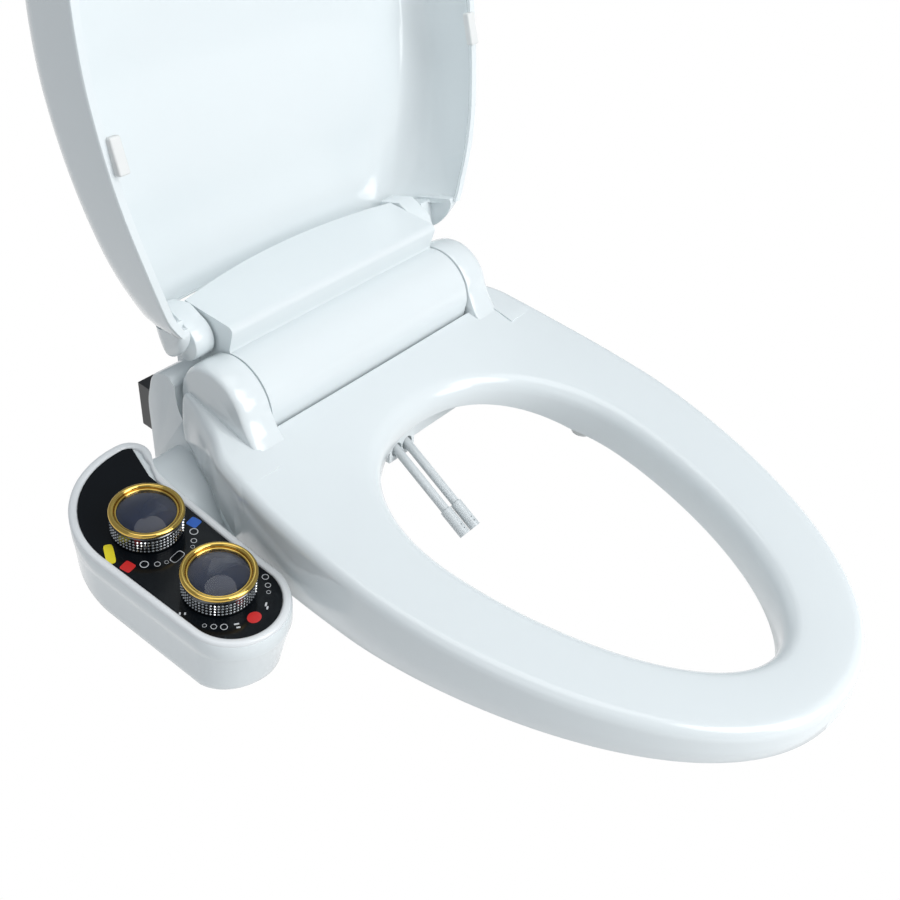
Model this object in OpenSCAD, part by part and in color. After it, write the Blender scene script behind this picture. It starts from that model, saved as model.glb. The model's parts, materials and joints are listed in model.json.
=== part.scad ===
/* [Seat] */
// Width of the seat ring
seat_w = 375; // [340:1:400]
// Distance from the fixing bolts to the front tip of the seat
seat_reach = 474.5; // [430:0.5:520]
// Distance from the fixing bolts to the widest place of the seat
seat_widest = 178.5; // [160:0.5:200]
// Height of the seat top at its front tip
seat_front_h = 37.5; // [32:0.5:48]
// Rise of the seat top for each millimetre towards the hinge
seat_slope = 0.1; // [0.06:0.01:0.12]
// Height of the seat's outer rim above the bowl
seat_rim_h = 12; // [8:0.5:16]
// Width of the opening
opening_w = 232; // [210:1:250]
// Distance from the bolts to the front of the opening
opening_front = 418.5; // [380:0.5:425]
// Distance from the bolts to the rear of the opening
opening_rear = 78; // [72:0.5:95]
// Distance from the bolts to the widest place of the opening
opening_widest = 201; // [180:1:220]
// Wall of the seat moulding
seat_wall = 3; // [2.5:0.1:4]
// Rounding of the seat's outer top edge
seat_round = 10; // [6:0.5:13]
// Rounding of the edge round the opening
opening_round = 12; // [8:0.5:14]
// Fall of the seat top from its outer edge to the opening
seat_dish = 6; // [3:0.5:8]
// Depth of the wall round the opening
opening_depth = 36; // [30:0.5:40]
// Depth of that wall at the rear, in front of the nozzles
opening_rear_depth = 22; // [18:0.5:26]

/* [Hinges] */
// Distance of the seat hinge axis behind the bolts
seat_axis_y = 9; // [6:0.5:12]
// Height of the seat hinge axis
seat_axis_z = 95.5; // [92:0.5:99]
// Radius of the round ears of the seat
ear_r = 38; // [36:0.5:40]
// Radius of the rounded front of the housing
barrel_r = 37; // [34:0.5:37.5]
// Diameter of the seat hinge pins
seat_pin_d = 14; // [10:0.5:18]
// Distance of the lid hinge axis behind the bolts
lid_axis_y = 50; // [50:0.5:54]
// Height of the lid hinge axis
lid_axis_z = 137; // [137:0.5:140]
// Radius of the round lugs of the lid
lug_r = 17.5; // [15:0.5:18]
// Diameter of the lid hinge pins
lid_pin_d = 10; // [8:0.5:14]
// Radial play of each pin in its ear or lug
pin_play = 0.05; // [0.03:0.01:0.1]
// Side clearance between the housing and an ear or lug
hinge_gap = 1.5; // [1:0.1:2.5]

/* [Lid] */
// Width of the lid
lid_w = 384; // [378:1:400]
// Distance from the bolts to the widest place of the lid
lid_widest = 150; // [140:1:165]
// How far the lid reaches past the seat at the front
lid_overhang = 3.5; // [1:0.5:8]
// Gap between the closed lid and the seat
lid_gap = 7; // [6:0.5:9]
// Height of the top of the lid's side where it is highest
lid_side_h = 150; // [146:0.5:154]
// Height of the top of the lid's side at the front
lid_front_h = 81; // [76:0.5:90]
// Rise of the lid's top from its side to its middle
lid_crown = 13; // [10:0.5:16]
// Height of the middle of the lid's rear edge
lid_rear_h = 184; // [182:0.5:188]
// Rounding of the lid's top edge
lid_round = 26; // [18:1:28]
// Wall of the lid
lid_wall = 3.5; // [2.5:0.1:4]
// Width of the strip round the lid's rim
lid_rim_w = 6.5; // [5:0.5:9]
// How far the lid stands open
lid_open = 107; // [100:1:109]

/* [Housing] */
// Width of the middle of the housing
housing_w = 236; // [220:1:240]
// Overall width of the housing with its shoulders
shoulder_w = 304; // [296:1:308]
// Distance of the housing's front foot ahead of the bolts
housing_front = 46.5; // [44:0.5:50]
// Distance of the housing's rear wall behind the bolts
housing_rear = 85; // [83:0.5:90]
// Height of the housing's flat top
hump_h = 157.5; // [156:0.5:158]
// Wall of the housing
housing_wall = 3; // [2.5:0.1:3.5]
// Thickness of the tray under the housing
tray_t = 4; // [3:0.5:5]
// Height of the tray above the bowl
tray_lift = 1; // [0.5:0.1:2]

/* [Bracket] */
// Distance between the two fixing bolts
bolt_spacing = 140; // [130:1:150]
// Width of each bolt slot
bolt_slot_w = 9; // [8:0.5:11]
// Length of each bolt slot
bolt_slot_l = 40; // [30:1:44]
// Length of the bracket
bracket_l = 192; // [186:1:200]
// Depth of the bracket from front to back
bracket_w = 46; // [36:1:50]
// Thickness of the bracket
bracket_t = 4; // [3:0.5:4.5]
// Clearance round the bracket
bracket_gap = 0.4; // [0.3:0.1:1]

/* [Control box] */
// Radius of the wide rear end of the control box
box_rear_r = 81; // [76:1:84]
// Radius of the front end of the control box
box_front_r = 42; // [38:1:43]
// Gap between the control box and the seat
box_gap = 2.5; // [2:0.5:5]
// Distance of the front end's centre ahead of the bolts
box_front_y = 105; // [98:1:108]
// Depth of the control box under its panel
box_depth = 60; // [50:1:64]
// Forward tilt of the panel
panel_tilt = 5.84; // [3:0.01:9]
// Height of the panel at the rear knob
panel_h = 43; // [40:0.5:46]
// Width of the rim round the panel
rim_w = 6.5; // [4:0.5:9]
// Height of the rim above the panel
rim_rise = 1; // [0.4:0.1:1.6]
// Thickness of the black panel
panel_t = 1.5; // [1:0.1:2]
// Wall of the control box
box_wall = 2.5; // [2:0.1:3]
// Width of the arm from the housing to the control box
arm_w = 46; // [36:1:48]
// Height of the arm
arm_h = 34; // [26:1:34]

/* [Knobs] */
// Distance between the two knobs
knob_spacing = 79.5; // [70:0.5:82]
// Diameter of the knurled skirt
knob_d = 55; // [46:0.5:58]
// Height of the knurled skirt
knob_h = 16; // [13:0.5:19]
// Thickness of the gold ring
ring_d = 4.4; // [3:0.1:5]
// Number of ridges round the skirt
knurl_count = 48; // [36:1:60]
// Depth of the ridges
knurl_depth = 0.8; // [0.4:0.1:1.2]
// Height of the clear dome above its seat
dome_h = 7; // [5:0.5:9]
// Diameter of the valve stem
stem_d = 8; // [6:0.5:10]
// Radial play of the stem in its valve
stem_play = 0.05; // [0.03:0.01:0.1]

/* [Nozzles] */
// Diameter of the nozzle tubes
nozzle_d = 8; // [7:0.1:9]
// Diameter of the nozzle tips
tip_d = 10.5; // [9.5:0.1:11]
// Length of the nozzle tips
tip_l = 27; // [20:0.5:32]
// How far the nozzles reach out of the guard
nozzle_out = 95; // [85:1:105]
// Distance between the two nozzles
nozzle_spacing = 13.5; // [13:0.5:18]
// Downward tilt of the nozzles
nozzle_tilt = 30; // [27:1:32]
// Radial play of a nozzle tube in its holder
nozzle_play = 0.06; // [0.03:0.01:0.1]

/* [Water inlets] */
// Outer diameter of the threaded inlets
inlet_d = 20.8; // [18:0.1:22]
// Length of the threaded part
inlet_l = 15; // [10:0.5:20]
// Bore of the inlets
inlet_bore = 12; // [8:0.5:14]
// Distance between the two inlets
inlet_spacing = 32; // [30:0.5:36]

/* [Hidden] */

$fn = 64;
eps = 0.01;
LEFT = 1;
RIGHT = -1;
REAR = 0;
FRONT = 1;

// ---- outlines shared by the seat, the lid and the control box ----
stations = 80;
step_deg = 360 / stations;
corner_deg = 135;
seat_rear = seat_axis_y - barrel_r - 0.3;
seat_side_fall = 11.5;
seat_flare = 3;
flare_start = -110;
rear_wall_low = seat_axis_z - 37.5;
housing_half = housing_w / 2;
shoulder_half = shoulder_w / 2;
ear_x0 = housing_half + hinge_gap;

function clamp01(v) = min(1, max(0, v));
function blend(a, b, s) = a + (b - a) * clamp01(s);
function fold(t) = t > 180 ? 360 - t : t;
function side_of(t) = t > 180 ? RIGHT : LEFT;

// Half width of the seat at y, from its widest place back to the ears.
function seat_half(y) =
    seat_w / 2 - seat_side_fall * pow(max(0, (y + seat_widest) / (seat_rear + seat_widest)), 2.4);
function seat_front_pt(f) = [
    seat_w / 2 * pow(sin(f), 0.9),
    -seat_widest - (seat_reach - seat_widest) * pow(cos(f), 1.18)
];
function seat_back_pt(f) = f <= corner_deg
    ? let (y = blend(-seat_widest, seat_rear, (f - 90) / 45)) [seat_half(y), y]
    : [seat_half(seat_rear) * (180 - f) / 45, seat_rear];
function mirror_pt(p, t) = [p[0] * side_of(t), p[1]];
function seat_outer(t) = let (f = fold(t)) mirror_pt(f <= 90 ? seat_front_pt(f) : seat_back_pt(f), t);
function seat_inner(t) = let (
    f = fold(t),
    front = opening_front - opening_widest,
    back = opening_widest - opening_rear
) mirror_pt(
    f <= 90
        ? [opening_w / 2 * pow(sin(f), 1.02), -opening_widest - front * pow(cos(f), 1.18)]
        : [opening_w / 2 * pow(max(0, sin(f)), 0.9), -opening_widest + back * pow(-cos(f), 0.97)],
    t);

// Height of the seat's top plane, which sweeps up a little before the hinge.
function seat_top(y) = seat_front_h + seat_slope * (y + seat_reach)
    + seat_flare * pow(clamp01((y - flare_start) / (seat_rear - flare_start)), 2);
function seat_edge_round(f) = blend(seat_round, 2.5, (f - 128) / 7);
function seat_rim_z(t) = let (
    p = seat_outer(t),
    side_z = seat_rim_h + max(0, p[1] + 47) * 0.85,
    inward = (seat_half(seat_rear) - abs(p[0])) / (seat_half(seat_rear) - housing_half)
) fold(t) <= corner_deg ? side_z : blend(side_z, rear_wall_low, inward);
function opening_rim_z(t) = let (
    y = seat_inner(t)[1],
    depth = blend(opening_depth, opening_rear_depth, (y + 160) / (160 - opening_rear))
) max(3, seat_top(y) - seat_dish - depth);

// One cross-section of the seat moulding: an inverted U from the outer rim to the opening.
function seat_section(t) = let (
    o = seat_outer(t),
    i = seat_inner(t),
    l = norm(i - o),
    d = (i - o) / l,
    r = seat_edge_round(fold(t)),
    q = opening_round,
    w = seat_wall,
    draft = 0.8,
    low = seat_rim_z(t),
    inner_low = opening_rim_z(t),
    top = function(n) seat_top(o[1] + d[1] * n) - seat_dish * n / l,
    at = function(n, z) [o[0] + d[0] * n, o[1] + d[1] * n, z]
) concat(
    [at(0, low)],
    [for (a = [0:30:90]) let (n = draft + r * (1 - cos(a))) at(n, top(n) - r * (1 - sin(a)))],
    [at(l * 0.5, top(l * 0.5) + 1)],
    [for (a = [90:-30:0]) let (n = l - q * (1 - cos(a))) at(n, top(n) - q * (1 - sin(a)))],
    [at(l, inner_low), at(l - w, inner_low)],
    [at(l - w, top(l) - q), at(l - q, top(l - q) - w), at(l * 0.5, top(l * 0.5) + 1 - w)],
    [at(r + draft, top(r) - w), at(w + draft, top(0) - max(r, w + 1)), at(w, low)]
);
function plate_section(t) = let (
    o = seat_outer(t),
    i = seat_inner(t),
    l = norm(i - o),
    d = (i - o) / l,
    w = seat_wall,
    z0 = seat_rim_z(t) + 1,
    z1 = opening_rim_z(t) + 1,
    at = function(n, z) [o[0] + d[0] * n, o[1] + d[1] * n, z]
) [at(w, z0), at(w, z0 + w), at(l - w, z1 + w), at(l - w, z1)];

// Triangles of a closed loop of n sections with m points each.
function loop_faces(n, m) = [
    for (i = [0:n - 1], j = [0:m - 1], k = [0, 1]) let (
        a = i * m + j,
        b = ((i + 1) % n) * m + j,
        c = ((i + 1) % n) * m + (j + 1) % m,
        e = i * m + (j + 1) % m
    ) k == 0 ? [a, c, b] : [a, e, c]
];
module loop_solid(sections) {
    m = len(sections[0]);
    polyhedron(points = [for (s = sections, p = s) p], faces = loop_faces(len(sections), m));
}

// ---- lid, drawn closed and then swung open ----
lid_reach = seat_reach + lid_overhang;
lid_rear = 34;
lid_side_fall = 24;
lid_lip = 7;
function lid_half(y) = lid_w / 2 - lid_side_fall * pow(max(0, (y + lid_widest) / (19 + lid_widest)), 2.2)
    - 4 * pow(max(0, (y - 19) / 17), 1.3);
lid_rear_x = lid_half(lid_rear);
function lid_outline(t) = let (f = fold(t)) mirror_pt(
    f <= 90
        ? [lid_w / 2 * pow(sin(f), 0.9), -lid_widest - (lid_reach - lid_widest) * pow(cos(f), 1.18)]
        : f <= corner_deg
            ? let (y = blend(-lid_widest, lid_rear, (f - 90) / 45)) [lid_half(y), y]
            : [lid_rear_x * (180 - f) / 45, lid_rear],
    t);
function lid_rim_z(y) = seat_front_h + lid_gap + (seat_slope - 0.0025) * (y + seat_reach)
    + 7 * pow(clamp01((y + 50) / 67), 2);
// The side's top edge falls in a long arc to the front and in a short one to the rear.
lid_high_y = -40;
lid_rear_drop = 20;
function lid_side_z(y) = y < lid_high_y
    ? lid_side_h - (lid_side_h - lid_front_h) * pow((lid_high_y - y) / (lid_high_y + lid_reach), 2)
    : lid_side_h - lid_rear_drop * pow((y - lid_high_y) / (lid_rear - lid_high_y), 2);
// The crown falls from the middle to nothing at the lid's outline.
function lid_crown_at(p) = let (
    wide = p[1] < -lid_widest ? lid_w / 2 : lid_half(p[1]),
    ahead = max(0, (-lid_widest - p[1]) / (lid_reach - lid_widest)),
    back = pow(clamp01((p[1] + lid_widest) / (lid_rear + lid_widest)), 2),
    rise = blend(lid_crown, lid_rear_h - lid_side_h + lid_rear_drop, back),
    power = blend(2.2, 8, back)
) rise * max(0, 1 - pow(min(1, abs(p[0]) / wide), power) - pow(ahead, 1.7));
function lid_top_z(p) = lid_side_z(p[1]) + lid_crown_at(p);
function lid_low(t) = let (
    p = lid_outline(t),
    rim = lid_rim_z(p[1]),
    edge = lid_top_z(p) - lid_lip
) fold(t) <= corner_deg ? rim : blend(rim, edge, (lid_rear_x - abs(p[0])) / 12);
function lid_corner_r(t) = let (p = lid_outline(t)) fold(t) <= corner_deg
    ? lid_round
    : blend(lid_round, 2.5, (lid_rear_x - abs(p[0])) / 12);
function lid_spine(p) = [0, p[1] < -lid_widest
    ? -lid_widest + 0.8 * (p[1] + lid_widest)
    : -lid_widest + 0.9 * (p[1] + lid_widest)];

// Rings of the lid from the outer rim over the top to the middle, then back inside.
function lid_ring_pt(t, level, inset) = let (
    p = lid_outline(t),
    s = lid_spine(p),
    d = (s - p) / norm(s - p),
    r = lid_corner_r(t),
    strip = clamp01((lid_top_z(p) - lid_low(t) - lid_lip) / 12),
    q = max(0.5, r - inset),
    g = [0.8, 0.55, 0.3, 0.06],
    rim_in = inset > 0 ? inset + strip * (lid_rim_w - inset) : 0,
    at = function(n, z) let (v = p + d * n) [v[0], v[1], z],
    arc = function(a) let (n = inset + q * (1 - cos(a))) at(n, lid_top_z(p + d * n) - inset - q * (1 - sin(a)))
) level == 0 ? at(rim_in, lid_low(t))
    : level == 1 ? at(rim_in, lid_low(t) + 1 + 2 * strip)
    : level == 2 ? at(inset, lid_low(t) + 2 + 4 * strip)
    : level <= 6 ? arc((level - 3) * 30)
    : let (v = s + (p + d * (inset + q) - s) * g[level - 7]) [v[0], v[1], lid_top_z(v) - inset];
lid_levels = 11;
function lid_ring(level, inset) = [for (k = [0:stations - 1]) lid_ring_pt(k * step_deg, level, inset)];
lid_rings = concat(
    [for (l = [0:lid_levels - 1]) lid_ring(l, 0)],
    [for (l = [lid_levels - 1:-1:0]) lid_ring(l, lid_wall)]
);
function strip_faces(m, rows) = [
    for (i = [0:rows - 1], j = [0:m - 1], k = [0, 1]) let (
        a = i * m + j,
        b = ((i + 1) % rows) * m + j,
        c = ((i + 1) % rows) * m + (j + 1) % m,
        e = i * m + (j + 1) % m
    ) k == 0 ? [a, b, c] : [a, c, e]
];
// The two smallest rings are closed by triangles between mirrored stations.
function cap_faces(base, flip) = [
    for (k = [0:stations / 2 - 1], h = [0, 1]) let (
        a = base + k,
        b = base + k + 1,
        c = base + (stations - k - 1) % stations,
        e = base + (stations - k) % stations,
        tri = h == 0 ? [a, b, c] : [a, c, e]
    ) if (tri[0] != tri[1] && tri[1] != tri[2] && tri[0] != tri[2]) flip ? [tri[2], tri[1], tri[0]] : tri
];
function lid_faces() = let (
    rows = len(lid_rings),
    top = lid_levels - 1
) concat(
    [for (f = strip_faces(stations, rows)) if (!joins_caps(f, top)) f],
    cap_faces(top * stations, true),
    cap_faces((top + 1) * stations, false)
);
function row_of(v) = floor(v / stations);
function joins_caps(f, top) = min([for (v = f) row_of(v)]) == top && max([for (v = f) row_of(v)]) == top + 1;

module swing_lid() {
    translate([0, lid_axis_y, lid_axis_z])
        rotate([-lid_open, 0, 0])
            translate([0, -lid_axis_y, -lid_axis_z])
                children();
}

// ---- small helpers ----
// A profile drawn in y and z, extruded along x between two distances on one side.
module along_x(side, x0, x1) {
    mirror([side == RIGHT ? 1 : 0, 0, 0])
        translate([x0, 0, 0])
            rotate([90, 0, 90])
                linear_extrude(x1 - x0)
                    children();
}
module across(half) {
    translate([-half, 0, 0])
        rotate([90, 0, 90])
            linear_extrude(2 * half)
                children();
}
module rod_x(side, x0, x1, y, z, r) {
    along_x(side, x0, x1)
        translate([y, z])
            circle(r);
}

// ---- bracket and tray ----
module mounting_bracket() {
    travel = (bolt_slot_l - bolt_slot_w) / 2;
    color("gainsboro") difference() {
        translate([-bracket_l / 2, -bracket_w / 2, 0])
            cube([bracket_l, bracket_w, bracket_t]);
        for (s = [LEFT, RIGHT]) {
            translate([s * bolt_spacing / 2 - travel, 0, -1])
                cylinder(h = bracket_t + 2, d = bolt_slot_w);
            translate([s * bolt_spacing / 2 + travel, 0, -1])
                cylinder(h = bracket_t + 2, d = bolt_slot_w);
            translate([s * bolt_spacing / 2 - travel, -bolt_slot_w / 2, -1])
                cube([2 * travel, bolt_slot_w, bracket_t + 2]);
        }
    }
}

tray_top = tray_lift + tray_t;
screw_d = 5;
screw_head_d = 9;
screw_head_t = 2;
screw_len = 16;
post_d = screw_d + 7;
screw_inset = housing_wall + post_d / 2 - 1;
screw_spots = [
    [shoulder_half - screw_inset, -housing_front + screw_inset],
    [-shoulder_half + screw_inset, -housing_front + screw_inset],
    [shoulder_half - screw_inset, housing_rear - screw_inset],
    [-shoulder_half + screw_inset, housing_rear - screw_inset]
];
recess_top = bracket_t + bracket_gap;
recess_wall = 4;
module base_tray() {
    color("white") difference() {
        union() {
            translate([-shoulder_half, -housing_front, tray_lift])
                cube([shoulder_w, housing_front + housing_rear, tray_t]);
            translate([-bracket_l / 2 - recess_wall, -bracket_w / 2 - recess_wall, tray_lift])
                cube([bracket_l + 2 * recess_wall, bracket_w + 2 * recess_wall, recess_top + 3 - tray_lift]);
        }
        translate([-bracket_l / 2 - bracket_gap, -bracket_w / 2 - bracket_gap, -1])
            cube([bracket_l + 2 * bracket_gap, bracket_w + 2 * bracket_gap, recess_top + 1]);
        for (p = screw_spots) {
            translate([p[0], p[1], 0])
                cylinder(h = tray_top + 1, d = screw_d);
            translate([p[0], p[1], 0])
                cylinder(h = tray_lift + screw_head_t + 0.2, d = screw_head_d + 0.6);
        }
    }
}
pad_l = 60;
pad_w = 14;
module tray_pad(side) {
    color("dimgray")
        translate([side * (shoulder_half - 30) - pad_w / 2, -pad_l / 2 + 10, 0])
            cube([pad_w, pad_l, tray_lift]);
}
module tray_screw(i) {
    p = screw_spots[i - 1];
    color("silver") translate([p[0], p[1], tray_lift + 0.2]) difference() {
        union() {
            cylinder(h = screw_head_t, d = screw_head_d);
            cylinder(h = screw_len, d = screw_d);
        }
        for (a = [0, 90])
            rotate(a)
                translate([-2.5, -0.5, -1])
                    cube([5, 1, 2]);
    }
}

// ---- housing ----
hump_front = seat_axis_y + 3;
hump_rear = 84;
hump_arc_r = 472;
ledge_y = seat_rear + 2.3;
module hump_limits(inset) {
    translate([0, hump_rear - hump_arc_r, 0])
        cylinder(h = hump_h + 20, r = hump_arc_r - inset, $fn = 180);
}
// Outline of the middle of the housing in y and z, drawn in by inset.
module middle_profile(inset) {
    foot = inset > 0 ? tray_top - 1 : tray_top;
    polygon([
        [-housing_front + inset, foot],
        [-housing_front + inset, 38 - inset],
        [-36 + inset, 46 - inset],
        [ledge_y + inset, 58 - inset * 0.5],
        [ledge_y + inset, seat_axis_z - 12],
        [seat_axis_y, seat_axis_z],
        [hump_front + inset, seat_axis_z + 10],
        [hump_rear - 12 - inset, seat_axis_z + 40 - inset],
        [housing_rear - inset, seat_axis_z + 16 - inset],
        [housing_rear - inset, foot]
    ]);
    translate([seat_axis_y, seat_axis_z])
        circle(barrel_r - inset, $fn = 96);
}
module hump_profile(inset) {
    polygon([
        [hump_front + inset, seat_axis_z],
        [hump_front + inset, seat_axis_z + barrel_r + 1.5],
        [hump_front - 3 + inset, hump_h - 1.5 - inset],
        [hump_front - 1.5 + inset, hump_h - inset],
        [hump_rear, hump_h - 1.5 - inset],
        [hump_rear, seat_axis_z]
    ]);
}
module shoulder_profile(inset) {
    foot = inset > 0 ? tray_top - 1 : tray_top;
    back = housing_rear - inset;
    difference() {
        polygon([
            [-housing_front + inset, foot],
            [-housing_front + inset, 12 - inset * 0.6],
            [-26 + inset, 26 - inset * 0.4],
            [-12 + inset, 38 - inset * 0.4],
            [2 + inset, 54 - inset * 0.4],
            [seat_axis_y, seat_axis_z + 12 - inset],
            [62, seat_axis_z + 12 - inset],
            [76 - inset, seat_axis_z + 4 - inset],
            [back, 70],
            [back, foot]
        ]);
        translate([seat_axis_y, seat_axis_z])
            circle(ear_r + 1.2 + inset, $fn = 96);
    }
}
module housing_solid(inset) {
    across(housing_half - inset)
        middle_profile(inset);
    intersection() {
        across(housing_half - inset)
            hump_profile(inset);
        hump_limits(inset);
    }
}
duct_d = tip_d + 1.5;
module housing_cover() {
    w = housing_wall;
    color("white") difference() {
        union() {
            housing_solid(0);
            across(shoulder_half)
                shoulder_profile(0);
        }
        difference() {
            housing_solid(w);
            for (p = screw_spots)
                screw_post(p);
        }
        difference() {
            across(shoulder_half - w)
                shoulder_profile(w);
            for (p = screw_spots)
                screw_post(p);
        }
        for (p = screw_spots)
            translate([p[0], p[1], tray_top - 1])
                cylinder(h = screw_len + 1, d = screw_d);
        for (s = [LEFT, RIGHT]) {
            rod_x(s, housing_half - w - 5, housing_half + 1, seat_axis_y, seat_axis_z, seat_pin_d / 2);
            rod_x(s, housing_half - w - 5, housing_half + 1, lid_axis_y, lid_axis_z, lid_pin_d / 2);
        }
        for (x = nozzle_xs)
            along_nozzle(x, -30, 20, duct_d / 2);
        arm_channel(shoulder_half - w - 5, shoulder_half + 1);
    }
}
module screw_post(p) {
    translate([p[0], p[1], 0])
        cylinder(h = tray_top + screw_len, d = post_d);
}

// ---- hinge pins ----
seat_pin_end = 146;
lid_pin_end = 140;
lug_x1 = 150;
module hinge_pin(side, y, z, d, x1) {
    flange_x = housing_half - housing_wall;
    color("silver") {
        rod_x(side, flange_x - 3, x1, y, z, d / 2);
        rod_x(side, flange_x - 3, flange_x, y, z, d / 2 + 4);
    }
}

// ---- seat ----
arm_front_z = seat_top(seat_rear);
crown_x = 148.4;
module seat_shell() {
    color("white")
        loop_solid([for (k = [0:stations - 1]) seat_section(k * step_deg)]);
}
module seat_underside() {
    color("white")
        loop_solid([for (k = [0:stations - 1]) plate_section(k * step_deg)]);
}
ear_low = seat_rim_h + (seat_rear + 47) * 0.85;
module ear_profile() {
    translate([seat_axis_y, seat_axis_z])
        circle(ear_r, $fn = 96);
    polygon([
        [seat_rear, ear_low],
        [-16, 40],
        [0, 60],
        [seat_axis_y, seat_axis_z],
        [seat_axis_y - ear_r + 0.5, seat_axis_z],
        [seat_rear, arm_front_z]
    ]);
    polygon([
        [seat_rear - 20, seat_top(seat_rear - 20) - 1],
        [seat_rear, arm_front_z - 2],
        [seat_axis_y, seat_axis_z],
        [seat_axis_y - ear_r * cos(12), seat_axis_z + ear_r * sin(12)],
        [seat_rear - 6, seat_top(seat_rear - 6) + 4]
    ]);
}
module cheek_profile() {
    polygon([
        [seat_rear, ear_low],
        [-16, 40],
        [0, 62],
        [8, 88],
        [12, 106],
        [16, 113],
        [-6, 105],
        [seat_rear - 24, seat_top(seat_rear - 24) - 1],
        [seat_rear, arm_front_z - 4]
    ]);
}
function arm_half(y) = seat_half(y) - 4.5 * clamp01((y - seat_rear) / 20);
// A cut that takes the sharp outer edge off the crown, so that the lid's corner clears it.
crown_chamfer = 4;
module crown_edge(side) {
    translate([0, seat_axis_y, seat_axis_z])
        rotate([0, side == RIGHT ? -90 : 90, 0])
            rotate_extrude($fn = 96)
                polygon([
                    [ear_r + 1, crown_x - crown_chamfer - 1],
                    [ear_r + 1, crown_x + 1],
                    [ear_r - crown_chamfer - 1, crown_x + 1]
                ]);
}
module seat_arm(side) {
    plan = [for (y = [seat_rear - 24:4:seat_rear + 52]) [arm_half(y), y]];
    color("white") difference() {
        union() {
            difference() {
                along_x(side, ear_x0, crown_x)
                    ear_profile();
                crown_edge(side);
            }
            intersection() {
                along_x(side, 140, 200)
                    cheek_profile();
                mirror([side == RIGHT ? 1 : 0, 0, 0])
                    linear_extrude(150)
                        polygon(concat([[0, seat_rear - 24]], plan, [[0, seat_rear + 52]]));
                mirror([side == RIGHT ? 1 : 0, 0, 0])
                    rotate([90, 0, 0])
                        translate([0, 0, -80])
                            linear_extrude(160)
                                polygon([
                                    [100, 0], [200, 0], [200, 70], [arm_half(seat_rear), arm_front_z - 4],
                                    [arm_half(0) - 2, 100], [158, 107.5], [153, 113.5], [100, 120]
                                ]);
            }
        }
        rod_x(side, ear_x0 - 1, seat_pin_end + 0.5, seat_axis_y, seat_axis_z, seat_pin_d / 2 + pin_play);
    }
}
bumper_spots = [[seat_w / 2 - 39.5, -seat_widest + 28.5], [82, -seat_reach + 56.5]];
function seat_bumper_xy(side, place) = [side * bumper_spots[place][0], bumper_spots[place][1]];
module seat_bumper(side, place) {
    p = seat_bumper_xy(side, place);
    color("whitesmoke")
        translate([p[0], p[1], 0])
            cylinder(h = place == REAR ? 23.5 : 10.5, d = 20);
}

// ---- lid ----
module lid_shell() {
    color("white") swing_lid()
        polyhedron(points = [for (r = lid_rings, p = r) p], faces = lid_faces());
}
module lug_profile() {
    translate([lid_axis_y, lid_axis_z])
        circle(lug_r, $fn = 72);
    polygon([
        [lid_axis_y, lid_axis_z + lug_r],
        [lid_rear - 8, lid_top_z([lug_x1, lid_rear - 8]) - 2],
        [lid_rear - 8, 140],
        [38, 125.5],
        [lid_axis_y, lid_axis_z]
    ]);
}
// The side of the lid's rear corner, which closes behind the ear of the seat.
flank_x0 = 153;
module flank_profile() {
    polygon([
        [lid_rear - 4, 104],
        [lid_rear + 4, 105],
        [lid_rear + 10, 111],
        [lid_rear + 12, 121],
        [lid_rear + 12, 138],
        [lid_rear + 6, 146],
        [lid_rear - 4, 148]
    ]);
}
module flank_bridge() {
    polygon([
        [lid_rear, 128],
        [lid_rear + 12, 124],
        [lid_rear + 12, 138],
        [lid_rear + 6, 146],
        [lid_rear, 147]
    ]);
}
module lid_lug(side) {
    color("white") swing_lid() difference() {
        union() {
            along_x(side, ear_x0, lug_x1)
                lug_profile();
        }
        rod_x(side, ear_x0 - 1, lid_pin_end + 0.5, lid_axis_y, lid_axis_z, lid_pin_d / 2 + pin_play);
    }
}
module lid_corner(side) {
    color("white") swing_lid() union() {
        intersection() {
            along_x(side, flank_x0, lid_w / 2)
                flank_profile();
            mirror([side == RIGHT ? 1 : 0, 0, 0])
                linear_extrude(200)
                    polygon([
                        [0, 0], [lid_rear_x + 5, 0], [lid_rear_x, lid_rear],
                        [lid_rear_x - 2.5, lid_rear + 7], [flank_x0 + 0.5, lid_rear + 12], [0, lid_rear + 20]
                    ]);
        }
        along_x(side, lug_x1 - 1, flank_x0 + 1)
            flank_bridge();
    }
}
lid_bumper_spots = [[lid_w / 2 - lid_rim_w - 4, -110], [40, -lid_reach + 17]];
module lid_bumper(side, place) {
    p = lid_bumper_spots[place];
    low = seat_top(p[1]) + 0.8;
    high = lid_rim_z(p[1]) + 1.5;
    size = place == REAR ? [9, 26] : [22, 11];
    color("whitesmoke") swing_lid()
        translate([side * p[0] - size[0] / 2, p[1] - size[1] / 2, low])
            cube([size[0], size[1], high - low]);
}

// ---- control box ----
knob_x = -(seat_w / 2 + box_gap + box_front_r - 0.4);
box_in_x = -(seat_w / 2 + box_gap);
front_c = [box_in_x - box_front_r + 1, -box_front_y];
rear_c = [box_in_x - 9, -8];
panel_y = -13;
module on_panel() {
    translate([0, panel_y, panel_h])
        rotate([panel_tilt, 0, 0])
            children();
}
function arc_pts(c, r, a0, a1, n) = [for (k = [0:n]) let (a = a0 + (a1 - a0) * k / n) c + r * [cos(a), sin(a)]];
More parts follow.
